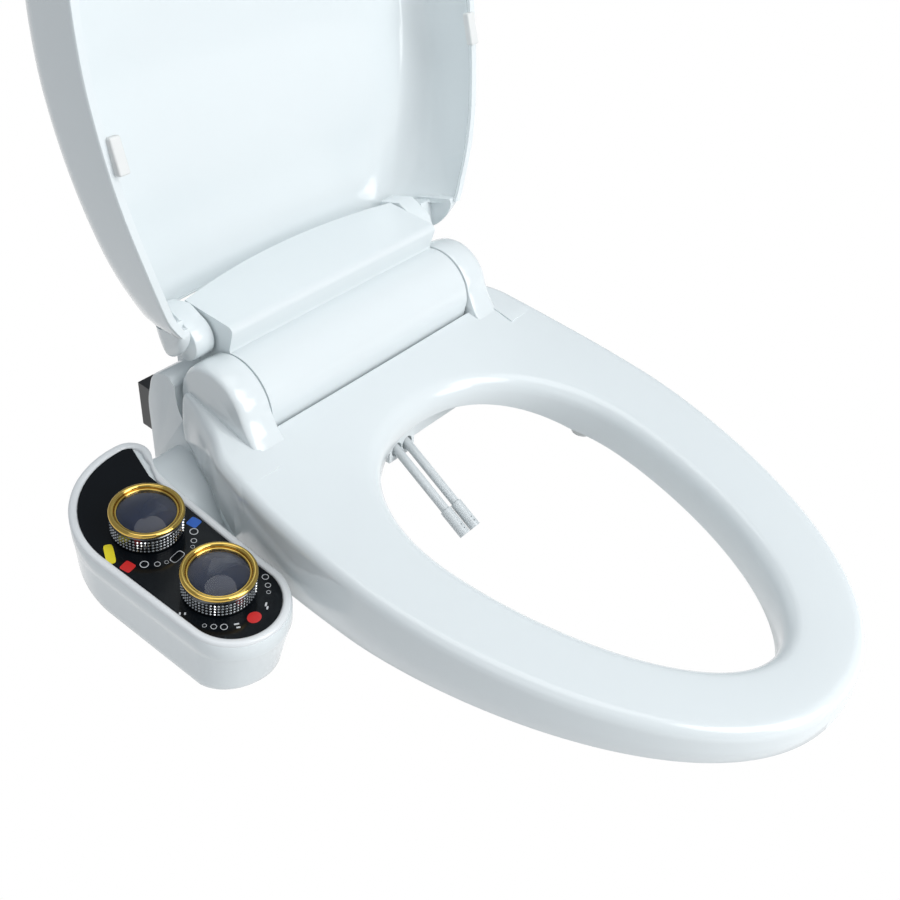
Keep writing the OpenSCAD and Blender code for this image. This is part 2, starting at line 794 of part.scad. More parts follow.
// The outline of the box seen from above: two arcs, a rounded rear point and a side along the seat.
tangent = acos((box_rear_r - box_front_r) / norm(rear_c - front_c));
lean = atan2(rear_c[1] - front_c[1], rear_c[0] - front_c[0]);
outer_angle = lean + 180 - tangent;
nose_r = 9;
nose_c = [box_in_x + 1, rear_c[1] + box_rear_r - 8];
function box_outline(inset) = concat(
    arc_pts(front_c, box_front_r - inset, -6, outer_angle - 360, 18),
    arc_pts(rear_c, box_rear_r - inset, outer_angle - 360, -266, 18),
    arc_pts(nose_c, nose_r - inset, 80, -10, 5),
    [[box_in_x - inset, 30], [box_in_x - inset, -box_front_y + 14]]
);
module box_prism(inset, z0, z1) {
    translate([0, 0, z0])
        linear_extrude(z1 - z0)
            polygon(box_outline(inset));
}
box_low = panel_h - box_depth - 9;
function box_floor_z(y) = y < -45 ? box_low : box_low + (y + 45) * 0.36;
// Space between the sloping floor, raised by lift, and the panel, lowered by drop.
module box_space(lift, drop) {
    fall = drop / cos(panel_tilt) + 0.02;
    translate([-320, 0, 0])
        rotate([90, 0, 90])
            linear_extrude(200)
                polygon([
                    [-200, box_low + lift],
                    [-45, box_low + lift],
                    [100, box_floor_z(100) + lift],
                    [100, panel_h + (100 - panel_y) * tan(panel_tilt) - fall],
                    [-200, panel_h + (-200 - panel_y) * tan(panel_tilt) - fall]
                ]);
}
deck_t = 2.5;
knob_vs = [1.6, 1.6 - knob_spacing];
module on_knob(place) {
    on_panel()
        translate([knob_x, knob_vs[place], 0])
            children();
}
valve_d = 26;
valve_len = 24;
module control_case() {
    color("white") difference() {
        intersection() {
            box_prism(0, -60, 90);
            box_space(0, panel_t);
        }
        intersection() {
            box_prism(box_wall, -60, 90);
            box_space(-20, panel_t + deck_t);
        }
        for (p = [REAR, FRONT])
            on_knob(p)
                translate([0, 0, -20])
                    cylinder(h = 25, d = stem_d + 1);
        arm_channel(seat_w / 2 - 20, seat_w / 2 + 12);
    }
}
module control_floor() {
    color("white") difference() {
        intersection() {
            box_prism(box_wall + 0.05, -60, 90);
            box_space(0, 10);
        }
        box_space(2.5, -40);
    }
}
module control_rim() {
    color("gainsboro") difference() {
        on_panel() {
            translate([0, -panel_y, -panel_t])
                linear_extrude(panel_t + rim_rise)
                    polygon(box_outline(0));
        }
        on_panel() {
            translate([0, -panel_y, -panel_t - 1])
                linear_extrude(panel_t + rim_rise + 2)
                    polygon(box_outline(rim_w));
        }
    }
}
module control_panel() {
    color("black") difference() {
        on_panel()
            translate([0, -panel_y, -panel_t])
                linear_extrude(panel_t)
                    polygon(box_outline(rim_w + 0.1));
        for (p = [REAR, FRONT])
            on_knob(p)
                translate([0, 0, -5])
                    cylinder(h = 10, d = stem_d + 1);
    }
}
arm_y0 = 10;
arm_z0 = tray_top + 3;
module arm_section(inset) {
    translate([arm_y0 + inset, arm_z0 + inset])
        square([arm_w - 2 * inset, arm_h - 2 * inset]);
}
module arm_channel(x0, x1) {
    along_x(RIGHT, x0, x1)
        arm_section(box_wall);
}
module control_arm() {
    color("white") difference() {
        along_x(RIGHT, shoulder_half, seat_w / 2 + 14)
            arm_section(0);
        arm_channel(shoulder_half - 1, seat_w / 2 + 20);
        box_prism(0, -60, 90);
    }
}

// ---- knobs, drawn on the panel ----
knob_gap = 0.6;
knob_top = knob_gap + knob_h;
web_low = 6.5;
web_top = 10.5;
dome_seat = knob_top - 1.5;
well_r = knob_d / 2 - 5.5;
lens_r = knob_d / 2 - 4.2;
module valve(place) {
    top = -panel_t - deck_t;
    color("goldenrod") on_knob(place) translate([0, 0, top - valve_len]) difference() {
        union() {
            cylinder(h = valve_len, d = valve_d);
            translate([0, 0, 3])
                cylinder(h = 8, d = valve_d + 6, $fn = 6);
        }
        translate([0, 0, 6])
            cylinder(h = valve_len, d = stem_d + 2 * stem_play);
    }
}
stem_low = -panel_t - deck_t - valve_len + 7;
hub_top = web_top - 1;
module stem(place) {
    color("silver") on_knob(place)
        translate([0, 0, stem_low])
            cylinder(h = hub_top - stem_low, d = stem_d);
}
function knurl_pts() = [
    for (k = [0:2 * knurl_count - 1]) let (
        a = 180 * k / knurl_count,
        r = knob_d / 2 - (k % 2) * knurl_depth
    ) r * [cos(a), sin(a)]
];
module knob(place) {
    color("lightgray") on_knob(place) difference() {
        translate([0, 0, knob_gap])
            linear_extrude(knob_h)
                polygon(knurl_pts());
        difference() {
            translate([0, 0, -1])
                cylinder(h = web_low + 1, r = knob_d / 2 - 3.5);
            translate([0, 0, 1.2])
                cylinder(h = web_low, d = stem_d + 8);
        }
        translate([0, 0, web_top])
            cylinder(h = knob_h, r = well_r);
        translate([0, 0, dome_seat])
            cylinder(h = knob_h, r = lens_r);
        translate([0, 0, -1])
            cylinder(h = hub_top + 1, d = stem_d);
    }
}
module knob_ring(place) {
    r = ring_d / 2;
    c = knob_d / 2 - knurl_depth - r + 1.2;
    color("gold") on_knob(place)
        rotate_extrude($fn = 96) {
            translate([c, knob_top + r - 0.4])
                circle(r, $fn = 24);
            translate([c - r + 0.3, knob_top])
                square([2 * r - 1.5, r]);
        }
}
module knob_dial(place) {
    color("midnightblue") on_knob(place)
        translate([0, 0, web_top])
            cylinder(h = 1.5, r = well_r - 0.1);
}
dome_r = lens_r - 0.1;
dome_rise = dome_h - 2;
dome_ball = (dome_r * dome_r + dome_rise * dome_rise) / (2 * dome_rise);
module dome_solid(inset) {
    cylinder(h = 2, r = dome_r - inset);
    intersection() {
        translate([0, 0, 2 + dome_rise - dome_ball])
            sphere(r = dome_ball - inset, $fn = 96);
        translate([0, 0, 1])
            cylinder(h = dome_h, r = dome_r - inset);
    }
}
module knob_dome(place) {
    color([0.8, 0.9, 1, 0.4]) on_knob(place)
        translate([0, 0, dome_seat])
            difference() {
                dome_solid(0);
                difference() {
                    translate([0, 0, -0.1])
                        cylinder(h = 2.2, r = dome_r - 1.5);
                }
                dome_solid(1.5);
            }
}

// ---- nozzles ----
nozzle_mid = 3.3;
nozzle_xs = [nozzle_mid - nozzle_spacing / 2, nozzle_mid + nozzle_spacing / 2];
exit_y = -housing_front - 10.5;
exit_z = 12;
module on_nozzle() {
    translate([0, exit_y, exit_z])
        rotate([90 + nozzle_tilt, 0, 0])
            children();
}
// A round rod on a nozzle's line, from s0 to s1 measured outwards from the guard.
module along_nozzle(x, s0, s1, r) {
    on_nozzle()
        translate([x, 0, s0])
            cylinder(h = s1 - s0, r = r);
}
holder_front = -20;
holder_back = -45;
holder_w = nozzle_spacing + 18;
foot_y1 = -bracket_w / 2 - recess_wall - 0.3;
foot_y0 = foot_y1 - 8.5;
foot_rise = 2;
holder_r = 8;
// A point in the holder's side view, s along the nozzles and r above their axis.
function holder_at(s, r) = [
    exit_y - s * cos(nozzle_tilt) - r * sin(nozzle_tilt),
    exit_z - s * sin(nozzle_tilt) + r * cos(nozzle_tilt)
];
module nozzle_holder() {
    color("lightgray") difference() {
        translate([nozzle_mid + holder_w / 2, 0, 0])
            rotate([90, 0, -90])
                linear_extrude(holder_w)
                    scale([-1, 1])
                        polygon([
                            holder_at(holder_front, -holder_r),
                            holder_at(holder_front, holder_r),
                            holder_at(holder_back, holder_r),
                            holder_at(holder_back, -holder_r),
                            [foot_y1, holder_at(holder_front, -holder_r)[1] + foot_rise],
                            [foot_y1, tray_top],
                            [foot_y0, tray_top],
                            [foot_y0, holder_at(holder_front, -holder_r)[1]]
                        ]);
        for (x = nozzle_xs)
            along_nozzle(x, holder_back - 2, holder_front + 2, nozzle_d / 2 + nozzle_play);
    }
}
guard_t = 11;
module nozzle_guard() {
    w = nozzle_spacing + duct_d + 6;
    color("white") difference() {
        translate([nozzle_mid - w / 2, -housing_front - guard_t, tray_lift])
            cube([w, guard_t, 26]);
        for (x = nozzle_xs)
            along_nozzle(x, -30, 40, duct_d / 2);
    }
}
module nozzle_tube(x) {
    color("gainsboro") {
        along_nozzle(x, holder_back - 6, nozzle_out - tip_l, nozzle_d / 2);
        along_nozzle(x, holder_back - 3.3, holder_back - 0.3, nozzle_d / 2 + 1.5);
    }
}
module nozzle_tip(x) {
    color("whitesmoke") difference() {
        along_nozzle(x, nozzle_out - tip_l, nozzle_out, tip_d / 2);
        on_nozzle()
            for (s = [5, 9])
                translate([x, 0, nozzle_out - s])
                    rotate([-90, 0, 0])
                        cylinder(h = tip_d, d = 1.2);
    }
}

// ---- water inlets ----
inlet_x = -shoulder_half + 42;
inlet_y = housing_rear + 14;
inlet_z = 22;
block_h = 44;
function inlet_place(i) = [inlet_x + (i - 0.5) * inlet_spacing, inlet_y];
module inlet_block() {
    color("dimgray") difference() {
        translate([inlet_x - inlet_spacing / 2 - 14, housing_rear, inlet_z])
            cube([inlet_spacing + 28, 28, block_h]);
        for (i = [0, 1])
            translate([inlet_place(i)[0], inlet_place(i)[1], inlet_z - 1])
                cylinder(h = block_h - 5, d = inlet_bore);
    }
}
module inlet(i) {
    color("silver") translate([inlet_place(i)[0], inlet_place(i)[1], 0]) difference() {
        union() {
            translate([0, 0, inlet_z - 5])
                cylinder(h = 5, d = inlet_d + 5, $fn = 6);
            translate([0, 0, inlet_z - 5 - inlet_l])
                cylinder(h = inlet_l, d = inlet_d);
        }
        translate([0, 0, inlet_z - 6 - inlet_l])
            cylinder(h = inlet_l + 8, d = inlet_bore);
    }
}
module washer(i) {
    color("black")
        translate([inlet_place(i)[0], inlet_place(i)[1], inlet_z - 7 - inlet_l])
            difference() {
                cylinder(h = 2, d = inlet_d - 1.5);
                translate([0, 0, -1])
                    cylinder(h = 4, d = inlet_bore - 1);
            }
}

mounting_bracket();
base_tray();
tray_pad(LEFT);  // tray_pad_left
tray_pad(RIGHT);  // tray_pad_right
tray_screw(1);  // tray_screw_1
tray_screw(2);  // tray_screw_2
tray_screw(3);  // tray_screw_3
tray_screw(4);  // tray_screw_4
housing_cover();
hinge_pin(LEFT, seat_axis_y, seat_axis_z, seat_pin_d, seat_pin_end);  // seat_pin_left
hinge_pin(RIGHT, seat_axis_y, seat_axis_z, seat_pin_d, seat_pin_end);  // seat_pin_right
hinge_pin(LEFT, lid_axis_y, lid_axis_z, lid_pin_d, lid_pin_end);  // lid_pin_left
hinge_pin(RIGHT, lid_axis_y, lid_axis_z, lid_pin_d, lid_pin_end);  // lid_pin_right
control_arm();
control_case();
control_floor();
control_rim();
control_panel();
valve(REAR);  // temperature_valve
valve(FRONT);  // pressure_valve
stem(REAR);  // temperature_stem
stem(FRONT);  // pressure_stem
knob(REAR);  // temperature_knob
knob(FRONT);  // pressure_knob
knob_ring(REAR);  // temperature_ring
knob_ring(FRONT);  // pressure_ring
knob_dial(REAR);  // temperature_dial
knob_dial(FRONT);  // pressure_dial
knob_dome(REAR);  // temperature_dome
knob_dome(FRONT);  // pressure_dome
nozzle_holder();
nozzle_guard();
nozzle_tube(nozzle_xs[0]);  // rear_nozzle_tube
nozzle_tip(nozzle_xs[0]);  // rear_nozzle_tip
nozzle_tube(nozzle_xs[1]);  // front_nozzle_tube
nozzle_tip(nozzle_xs[1]);  // front_nozzle_tip
inlet_block();
inlet(0);  // cold_inlet
inlet(1);  // hot_inlet
washer(0);  // cold_washer
washer(1);  // hot_washer
seat_shell();
seat_underside();
seat_arm(LEFT);  // seat_arm_left
seat_arm(RIGHT);  // seat_arm_right
seat_bumper(LEFT, FRONT);  // seat_bumper_front_left
seat_bumper(RIGHT, FRONT);  // seat_bumper_front_right
seat_bumper(LEFT, REAR);  // seat_bumper_rear_left
seat_bumper(RIGHT, REAR);  // seat_bumper_rear_right
lid_shell();
lid_lug(LEFT);  // lid_lug_left
lid_lug(RIGHT);  // lid_lug_right
lid_corner(LEFT);  // lid_corner_left
lid_corner(RIGHT);  // lid_corner_right
lid_bumper(LEFT, FRONT);  // lid_bumper_front_left
lid_bumper(RIGHT, FRONT);  // lid_bumper_front_right
lid_bumper(LEFT, REAR);  // lid_bumper_rear_left
lid_bumper(RIGHT, REAR);  // lid_bumper_rear_right
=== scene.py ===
# %% [markdown]
# # A bidet seat with two water knobs
#
# This lesson dresses a plain CAD assembly so that it looks like the real object: a glossy
# white seat and lid on a hinge housing, and a side box with two gold-ringed knobs.
# Lengths below are millimetres in the CAD frame: x to the user's left, y to the wall, z up.

# %% Frame
import json
import math

import bmesh
import bpy
from mathutils import Matrix, Vector


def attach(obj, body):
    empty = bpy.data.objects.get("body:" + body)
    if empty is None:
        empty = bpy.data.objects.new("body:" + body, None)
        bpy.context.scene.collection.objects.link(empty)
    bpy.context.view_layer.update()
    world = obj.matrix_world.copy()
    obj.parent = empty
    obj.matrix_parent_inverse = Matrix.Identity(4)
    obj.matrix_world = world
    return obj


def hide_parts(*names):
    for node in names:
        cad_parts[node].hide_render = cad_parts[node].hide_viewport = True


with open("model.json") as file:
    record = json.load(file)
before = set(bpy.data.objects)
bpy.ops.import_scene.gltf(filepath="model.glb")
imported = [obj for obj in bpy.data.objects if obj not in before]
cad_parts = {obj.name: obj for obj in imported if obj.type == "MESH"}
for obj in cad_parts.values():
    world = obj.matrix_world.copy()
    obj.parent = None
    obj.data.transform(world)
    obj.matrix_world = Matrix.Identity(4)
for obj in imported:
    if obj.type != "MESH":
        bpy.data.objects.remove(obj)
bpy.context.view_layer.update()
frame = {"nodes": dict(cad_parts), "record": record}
nodes = frame["nodes"]
MM = 0.001
print("CAD nodes:", len(nodes))

# %% [markdown]
# ## Shader expressions
# A material's pattern is easier to read as a formula than as a picture of wires.
# `Wire` holds one socket and turns + and * into Math nodes.


# %% Wire class
class Wire:
    def __init__(self, tree, socket):
        self.tree, self.socket = tree, socket

    def _math(self, operation, *values):
        return make_node(self.tree, "ShaderNodeMath", {"operation": operation}, list(values))

    def __add__(self, other):
        return self._math("ADD", self, other)

    def __radd__(self, other):
        return self._math("ADD", other, self)

    def __mul__(self, other):
        return self._math("MULTIPLY", self, other)

    def __rmul__(self, other):
        return self._math("MULTIPLY", other, self)

    def call(self, operation, *others):
        return self._math(operation, self, *others)


def make_node(tree, kind, settings=None, values=(), output=0):
    """Adds a node, sets it, then fills its sockets: a list by place or a dict by name."""
    node = tree.nodes.new(kind)
    for name, value in (settings or {}).items():
        setattr(node, name, value)
    pairs = values.items() if isinstance(values, dict) else enumerate(values)
    for key, value in pairs:
        if isinstance(value, Wire):
            tree.links.new(value.socket, node.inputs[key])
        elif value is not None:
            node.inputs[key].default_value = value
    return Wire(tree, node.outputs[output])


# %% [markdown]
# ## Finishes
# Moulded plastic isn't perfectly even: its gloss wanders a little over a few centimetres and
# its surface has a faint ripple. Every finish gets both, from one function, so that no part
# looks like a flat fill. Metals get the same treatment with a finer grain.


# %% Finish helper
def object_noise(tree, scale, detail=3.0):
    place = make_node(tree, "ShaderNodeTexCoord", output="Object")
    return make_node(
        tree, "ShaderNodeTexNoise", {}, {"Vector": place, "Scale": scale, "Detail": detail}
    )


BUMP_DEPTH, FINE = 0.0004, 12


def finish(name, colour, gloss, gloss_spread, tint, ripple, grain=30.0, **sockets):
    """A Principled material whose roughness and colour wander and whose surface ripples."""
    material = bpy.data.materials.new(name)
    material.use_nodes = True
    tree = material.node_tree
    shader = tree.nodes["Principled BSDF"]
    wander = object_noise(tree, grain)
    rough = wander * (2 * gloss_spread) + (gloss - gloss_spread)
    tree.links.new(rough.socket, shader.inputs["Roughness"])
    darker = [c * (1 - tint) for c in colour] + [1]
    mixed = make_node(
        tree, "ShaderNodeMix", {"data_type": "RGBA"},
        {"Factor": wander, 6: list(colour) + [1], 7: darker}, output=2,
    )
    tree.links.new(mixed.socket, shader.inputs["Base Color"])
    fine = object_noise(tree, grain * FINE, 2.0)
    bump = make_node(
        tree, "ShaderNodeBump", {}, {"Strength": ripple, "Distance": BUMP_DEPTH, "Height": fine}
    )
    tree.links.new(bump.socket, shader.inputs["Normal"])
    for key, value in sockets.items():
        shader.inputs[key.replace("_", " ")].default_value = value
    return material


# %% The object's finishes
COOL_WHITE = (0.785, 0.835, 0.85)
METAL = {"grain": 60.0, "Metallic": 1.0}
# name, colour, gloss, spread of the gloss, tint, ripple, other settings
FINISHES = (
    ("white_plastic", COOL_WHITE, 0.16, 0.03, 0.012, 0.010, {"Coat_Weight": 0.25}),
    ("bracket_plastic", (0.74, 0.76, 0.77), 0.42, 0.06, 0.03, 0.05, {}),
    ("grey_plastic", (0.66, 0.70, 0.715), 0.25, 0.04, 0.02, 0.006, {}),
    ("rim_plastic", (0.81, 0.835, 0.85), 0.14, 0.03, 0.012, 0.010, {"Coat_Weight": 0.3}),
    ("gold", (0.74, 0.50, 0.13), 0.07, 0.02, 0.05, 0.01, METAL),
    ("chrome", (0.62, 0.63, 0.64), 0.13, 0.04, 0.05, 0.02, METAL),
    ("knob_dark", (0.16, 0.165, 0.17), 0.16, 0.04, 0.05, 0.01, METAL),
    ("rubber_white", (0.78, 0.79, 0.78), 0.55, 0.06, 0.04, 0.10, {}),
    ("rubber_black", (0.02, 0.02, 0.02), 0.65, 0.06, 0.1, 0.12, {}),
    ("steel", (0.55, 0.56, 0.57), 0.28, 0.08, 0.06, 0.04, METAL),
    ("brass", (0.72, 0.53, 0.26), 0.30, 0.08, 0.08, 0.05, METAL),
    ("black_plastic", (0.015, 0.016, 0.018), 0.35, 0.06, 0.1, 0.05, {}),
    ("black_panel", (0.003, 0.0045, 0.0065), 0.16, 0.04, 0.1, 0.004, {"Specular_IOR_Level": 0.22}),
    ("dial", (0.008, 0.015, 0.045), 0.22, 0.04, 0.1, 0.02, {}),
    ("clear", (0.97, 0.98, 1.0), 0.02, 0.012, 0.01, 0.0, {"Transmission_Weight": 1.0, "IOR": 1.46}),
)
INKS = (
    ("ink_white", (0.62, 0.64, 0.66), 0.35, 0.04, 0.04, 0.02),
    ("ink_blue", (0.02, 0.12, 0.52), 0.3, 0.04, 0.06, 0.02),
    ("ink_red", (0.62, 0.02, 0.02), 0.3, 0.04, 0.06, 0.02),
    ("ink_yellow", (0.80, 0.68, 0.02), 0.35, 0.04, 0.06, 0.02),
)
materials = {row[0]: finish(*row[:-1], **row[-1]) for row in FINISHES}
marks = {row[0]: finish(*row) for row in INKS}
print("finishes:", len(materials) + len(marks))

# %% Give every CAD node its finish
slot_of_node = {}
record = frame["record"]
for entry in record["subparts"]:
    slot_of_node[entry["node"]] = entry["material_slot"]
for node_name, node_object in nodes.items():
    slot = slot_of_node.get(node_name, "white_plastic")
    node_object.data.materials.clear()
    node_object.data.materials.append(materials[slot])
print("slots in the record:", sorted({e["slot"] for e in record["materials"]}))

# %% [markdown]
# ## Modelling helpers
# Most of the white mouldings are lofts: one outline swept along another while its shape
# changes. `loft` starts from a circle operator, places its vertices on the first section,
# then extrudes the edges once per section, so the mesh grows the way it would by hand.


# %% Loft helper
def loft(sections, ends="weld", closed=True):
    """Extrudes a ring of edges through the sections (lists of points in mm)."""
    bm = bmesh.new()
    count = len(sections[0])
    made = bmesh.ops.create_circle(bm, segments=count, radius=1.0)
    ring = list(made["verts"])
    if not closed:
        gap = next(e for e in ring[0].link_edges if e.other_vert(ring[0]) == ring[-1])
        bm.edges.remove(gap)
    for vert, point in zip(ring, sections[0]):
        vert.co = Vector(point) * MM
    first = list(ring)
    for section in sections[1:]:
        here = set(ring)
        edges = list({e for v in ring for e in v.link_edges if e.other_vert(v) in here})
        made = bmesh.ops.extrude_edge_only(bm, edges=edges)
        fresh = {g for g in made["geom"] if isinstance(g, bmesh.types.BMVert)}
        after = []
        for vert in ring:
            others = (e.other_vert(vert) for e in vert.link_edges)
            after.append(next(other for other in others if other in fresh))
        for vert, point in zip(after, section):
            vert.co = Vector(point) * MM
        ring = after
    if ends == "cap":
        for end in (set(first), set(ring)):
            rim = list({e for v in end for e in v.link_edges if e.other_vert(v) in end})
            bmesh.ops.edgeloop_fill(bm, edges=rim)
    bmesh.ops.remove_doubles(bm, verts=bm.verts[:], dist=2e-6)
    bmesh.ops.recalc_face_normals(bm, faces=bm.faces[:])
    return bm


def shade(mesh, angle=35.0):
    """Smooth faces, with hard edges where the surface turns by more than angle."""
    bm = bmesh.new()
    bm.from_mesh(mesh)
    for face in bm.faces:
        face.smooth = True
    for edge in bm.edges:
        edge.smooth = len(edge.link_faces) != 2 or edge.calc_face_angle(0) < math.radians(angle)
    bm.to_mesh(mesh)
    bm.free()


def piece(name, bm, material, body, replaces=(), angle=35.0, bevel=0.0):
    """Turns a bmesh into an object of this part, riding on one body."""
    mesh = bpy.data.meshes.new(name)
    bm.to_mesh(mesh)
    bm.free()
    shade(mesh, angle)
    mesh.materials.append(material)
    made = bpy.data.objects.new(name, mesh)
    bpy.context.scene.collection.objects.link(made)
    if bevel:
        add_bevel(made, bevel)
    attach(made, body)
    if replaces:
        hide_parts(*replaces)
    print(f"{name}: {len(mesh.polygons)} faces")


def white_piece(name, bm, body, replaces, angle):
    piece(name, bm, materials["white_plastic"], body, replaces, angle)


def add_bevel(made, width):
    modifier = made.modifiers.new("Edge", "BEVEL")
    modifier.width = width * MM
    modifier.segments = 3
    modifier.limit_method = "ANGLE"
    modifier.angle_limit = math.radians(30)
    modifier.harden_normals = True


def merged_copy(name):
    """A CAD node's triangles, joined up, with flat areas made one face."""
    bm = bmesh.new()
    bm.from_mesh(nodes[name].data)
    bmesh.ops.remove_doubles(bm, verts=bm.verts[:], dist=5e-6)
    flat = math.radians(1)
    bmesh.ops.dissolve_limit(bm, angle_limit=flat, verts=bm.verts[:], edges=bm.edges[:])
    return bm


def clamp(v, low=0.0, high=1.0):
    return max(low, min(high, v))


def smooth(v):
    v = clamp(v)
    return v * v * (3 - 2 * v)


def mix(a, b, s):
    return a + (b - a) * clamp(s)


def on_circle(u, v, radius, degrees):
    """The point of a circle round (u, v) at an angle."""
    a = math.radians(degrees)
    return u + radius * math.cos(a), v + radius * math.sin(a)


# %% [markdown]
# ## Seat
# The seat is one glossy moulding: an upside-down channel swept round the opening. The top
# dishes gently towards the opening and both edges are well rounded. A loft of one
# cross-section round the ring gives that, with the same outlines as the CAD solid.

# %% Seat outlines
SEAT_W, SEAT_REACH, SEAT_WIDEST = 375.0, 474.5, 178.5
SEAT_REAR, SEAT_FRONT_H, SEAT_SLOPE = -28.3, 37.5, 0.1
OPEN_W, OPEN_FRONT, OPEN_WIDEST, OPEN_REAR = 232.0, 418.5, 201.0, 78.0
AXIS_Y, AXIS_Z, EAR_R, BARREL_R = 9.0, 95.5, 38.0, 37.0
HOUSING_HALF = 118.0
EAR_IN = HOUSING_HALF + 1.5
SKIRT_LOW, SKIRT_RISE_Y, SKIRT_RISE = 12.0, -47.0, 0.85
# Degrees round an outline from the front tip: its widest place, and its rear corner.
WIDEST_AT, CORNER_AT = 90, 135
SPAN = CORNER_AT - WIDEST_AT


def fold(t):
    return 360 - t if t > 180 else t


def seat_half(y):
    return SEAT_W / 2 - 11.5 * max(0, (y + SEAT_WIDEST) / (SEAT_REAR + SEAT_WIDEST)) ** 2.4


def seat_outer(t):
    f = fold(t)
    side = -1 if t > 180 else 1
    if f <= WIDEST_AT:
        s, c = math.sin(math.radians(f)), max(0.0, math.cos(math.radians(f)))
        x, y = SEAT_W / 2 * s ** 0.9, -SEAT_WIDEST - (SEAT_REACH - SEAT_WIDEST) * c ** 1.18
    elif f <= CORNER_AT:
        y = mix(-SEAT_WIDEST, SEAT_REAR, (f - WIDEST_AT) / SPAN)
        x = seat_half(y)
    else:
        x, y = seat_half(SEAT_REAR) * (180 - f) / SPAN, SEAT_REAR
    return Vector((x * side, y))


def seat_inner(t):
    f = fold(t)
    side = -1 if t > 180 else 1
    s, c = max(0.0, math.sin(math.radians(f))), math.cos(math.radians(f))
    if f <= WIDEST_AT:
        x = OPEN_W / 2 * s ** 1.02
        y = -OPEN_WIDEST - (OPEN_FRONT - OPEN_WIDEST) * max(0, c) ** 1.18
    else:
        x = OPEN_W / 2 * s ** 0.9
        y = -OPEN_WIDEST + (OPEN_WIDEST - OPEN_REAR) * max(0, -c) ** 0.97
    return Vector((x * side, y))


def seat_top(y):
    flare = clamp((y + 110) / (SEAT_REAR + 110))
    return SEAT_FRONT_H + SEAT_SLOPE * (y + SEAT_REACH) + 3 * flare * flare


# %% Seat moulding
def seat_rim(t):
    o = seat_outer(t)
    side = SKIRT_LOW + max(0, o.y - SKIRT_RISE_Y) * SKIRT_RISE
    if fold(t) <= CORNER_AT:
        return side
    corner_x = seat_half(SEAT_REAR)
    share = (corner_x - abs(o.x)) / (corner_x - HOUSING_HALF)
    return mix(side, AXIS_Z - BARREL_R - 0.5, share)


def opening_rim(t):
    y = seat_inner(t).y
    return max(3, seat_top(y) - 6 - mix(36, 22, (y + 160) / (160 - OPEN_REAR)))


def seat_section(t):
    o, i = seat_outer(t), seat_inner(t)
    length = (i - o).length
    d = (i - o) / length
    r = mix(10, 2.5, (fold(t) - 135.5) / 4)
    q, wall, draft = 12.0, 3.0, 0.8
    low, inner_low = seat_rim(t), opening_rim(t)

    def top(n):
        s = n / length
        return seat_top(o.y + d.y * n) - 6 * s + 4 * s * (1 - s)

    def at(n, z):
        return (o.x + d.x * n, o.y + d.y * n, z)

    points = [at(0.6, low), at(0, low + 0.8), at(draft * 0.6, mix(low, top(0) - r, 0.6))]
    for k in range(9):
        a = math.radians(90 * k / 8)
        n = draft + r * (1 - math.cos(a))
        points.append(at(n, top(n) - r * (1 - math.sin(a))))
    for k in range(1, 8):
        n = draft + r + (length - q - draft - r) * k / 8
        points.append(at(n, top(n)))
    for k in range(9):
        a = math.radians(90 - 90 * k / 8)
        n = length - q * (1 - math.cos(a))
        points.append(at(n, top(n) - q * (1 - math.sin(a))))
    points += [at(length, inner_low + 1), at(length - 0.6, inner_low)]
    points += [at(length - wall, inner_low), at(length - wall, top(length) - q)]
    points += [at(length - q, top(length - q) - wall)]
    points += [at(length * 0.5, top(length * 0.5) - wall), at(r + draft, top(r) - wall)]
    points += [at(wall + draft, top(0) - max(r, wall + 1)), at(wall, low)]
    return points


STATIONS = 240
seat_sections = [seat_section(360 * k / STATIONS) for k in range(STATIONS)]
seat_bm = loft(seat_sections + seat_sections[:1])
white_piece("seat_moulding", seat_bm, "seat", ["seat_shell"], 40)

# %% [markdown]
# ## Ears of the seat
# Each ear is a round crown that turns beside the barrel, with a ramp in front of it. Outside
# it, a cheek sweeps up from the seat and leaves a leaf-shaped facet on the crown's side.


# %% Ears
RAMP_Y, RAMP_DEG = -53.0, 166.0
# Distance from the middle, and how far the crown's outline is drawn in there.
CROWN_STEPS = (
    (EAR_IN, 1.5), (EAR_IN + 0.4, 0.6), (EAR_IN + 1.4, 0), (132, 0), (137, 0.2), (141, 0.6),
    (144, 1.3), (145.8, 2.3), (146.9, 3.6), (147.3, 4.8),
)


def crown_profile(shrink):
    """The crown in y and z: a circle with a soft ramp down to the seat."""
    r = EAR_R - shrink
    top_y, top_z = on_circle(AXIS_Y, AXIS_Z, r, RAMP_DEG)
    foot_z, rear_z = seat_top(RAMP_Y) - 3.5, seat_top(SEAT_REAR) - 1
    points = [(RAMP_Y, foot_z - shrink)]
    for k in range(1, 16):
        s = k / 16
        z = foot_z + (rear_z - foot_z) * s + (top_z - rear_z) * s ** 2.6
        points.append((RAMP_Y + (top_y - RAMP_Y) * s, z - 0.5 * shrink * (1 - s)))
    points += [on_circle(AXIS_Y, AXIS_Z, r, RAMP_DEG - 4 * k) for k in range(61)]
    points += [(-14, 44), (SEAT_REAR, 40), (RAMP_Y, 50)]
    return points


CHEEK_START, CHEEK_END = -62.0, 38.5
RIDGE_X, REAR_TOP = 149.6, 101.0
SWEEP_R = 50.0
BEHIND_Y = -15.0
CHEEK_YS = [CHEEK_START + 2.5 * k for k in range(39)]
CHEEK_YS += [34.6, 35.6, 36.4, 37.0, 37.5, CHEEK_END]


def cheek_top(y):
    start = seat_top(min(y, -46)) + 0.15 - 0.6 * clamp((-56 - y) / 6)
    return mix(start, REAR_TOP, clamp((y + 46) / 84) ** 1.15)


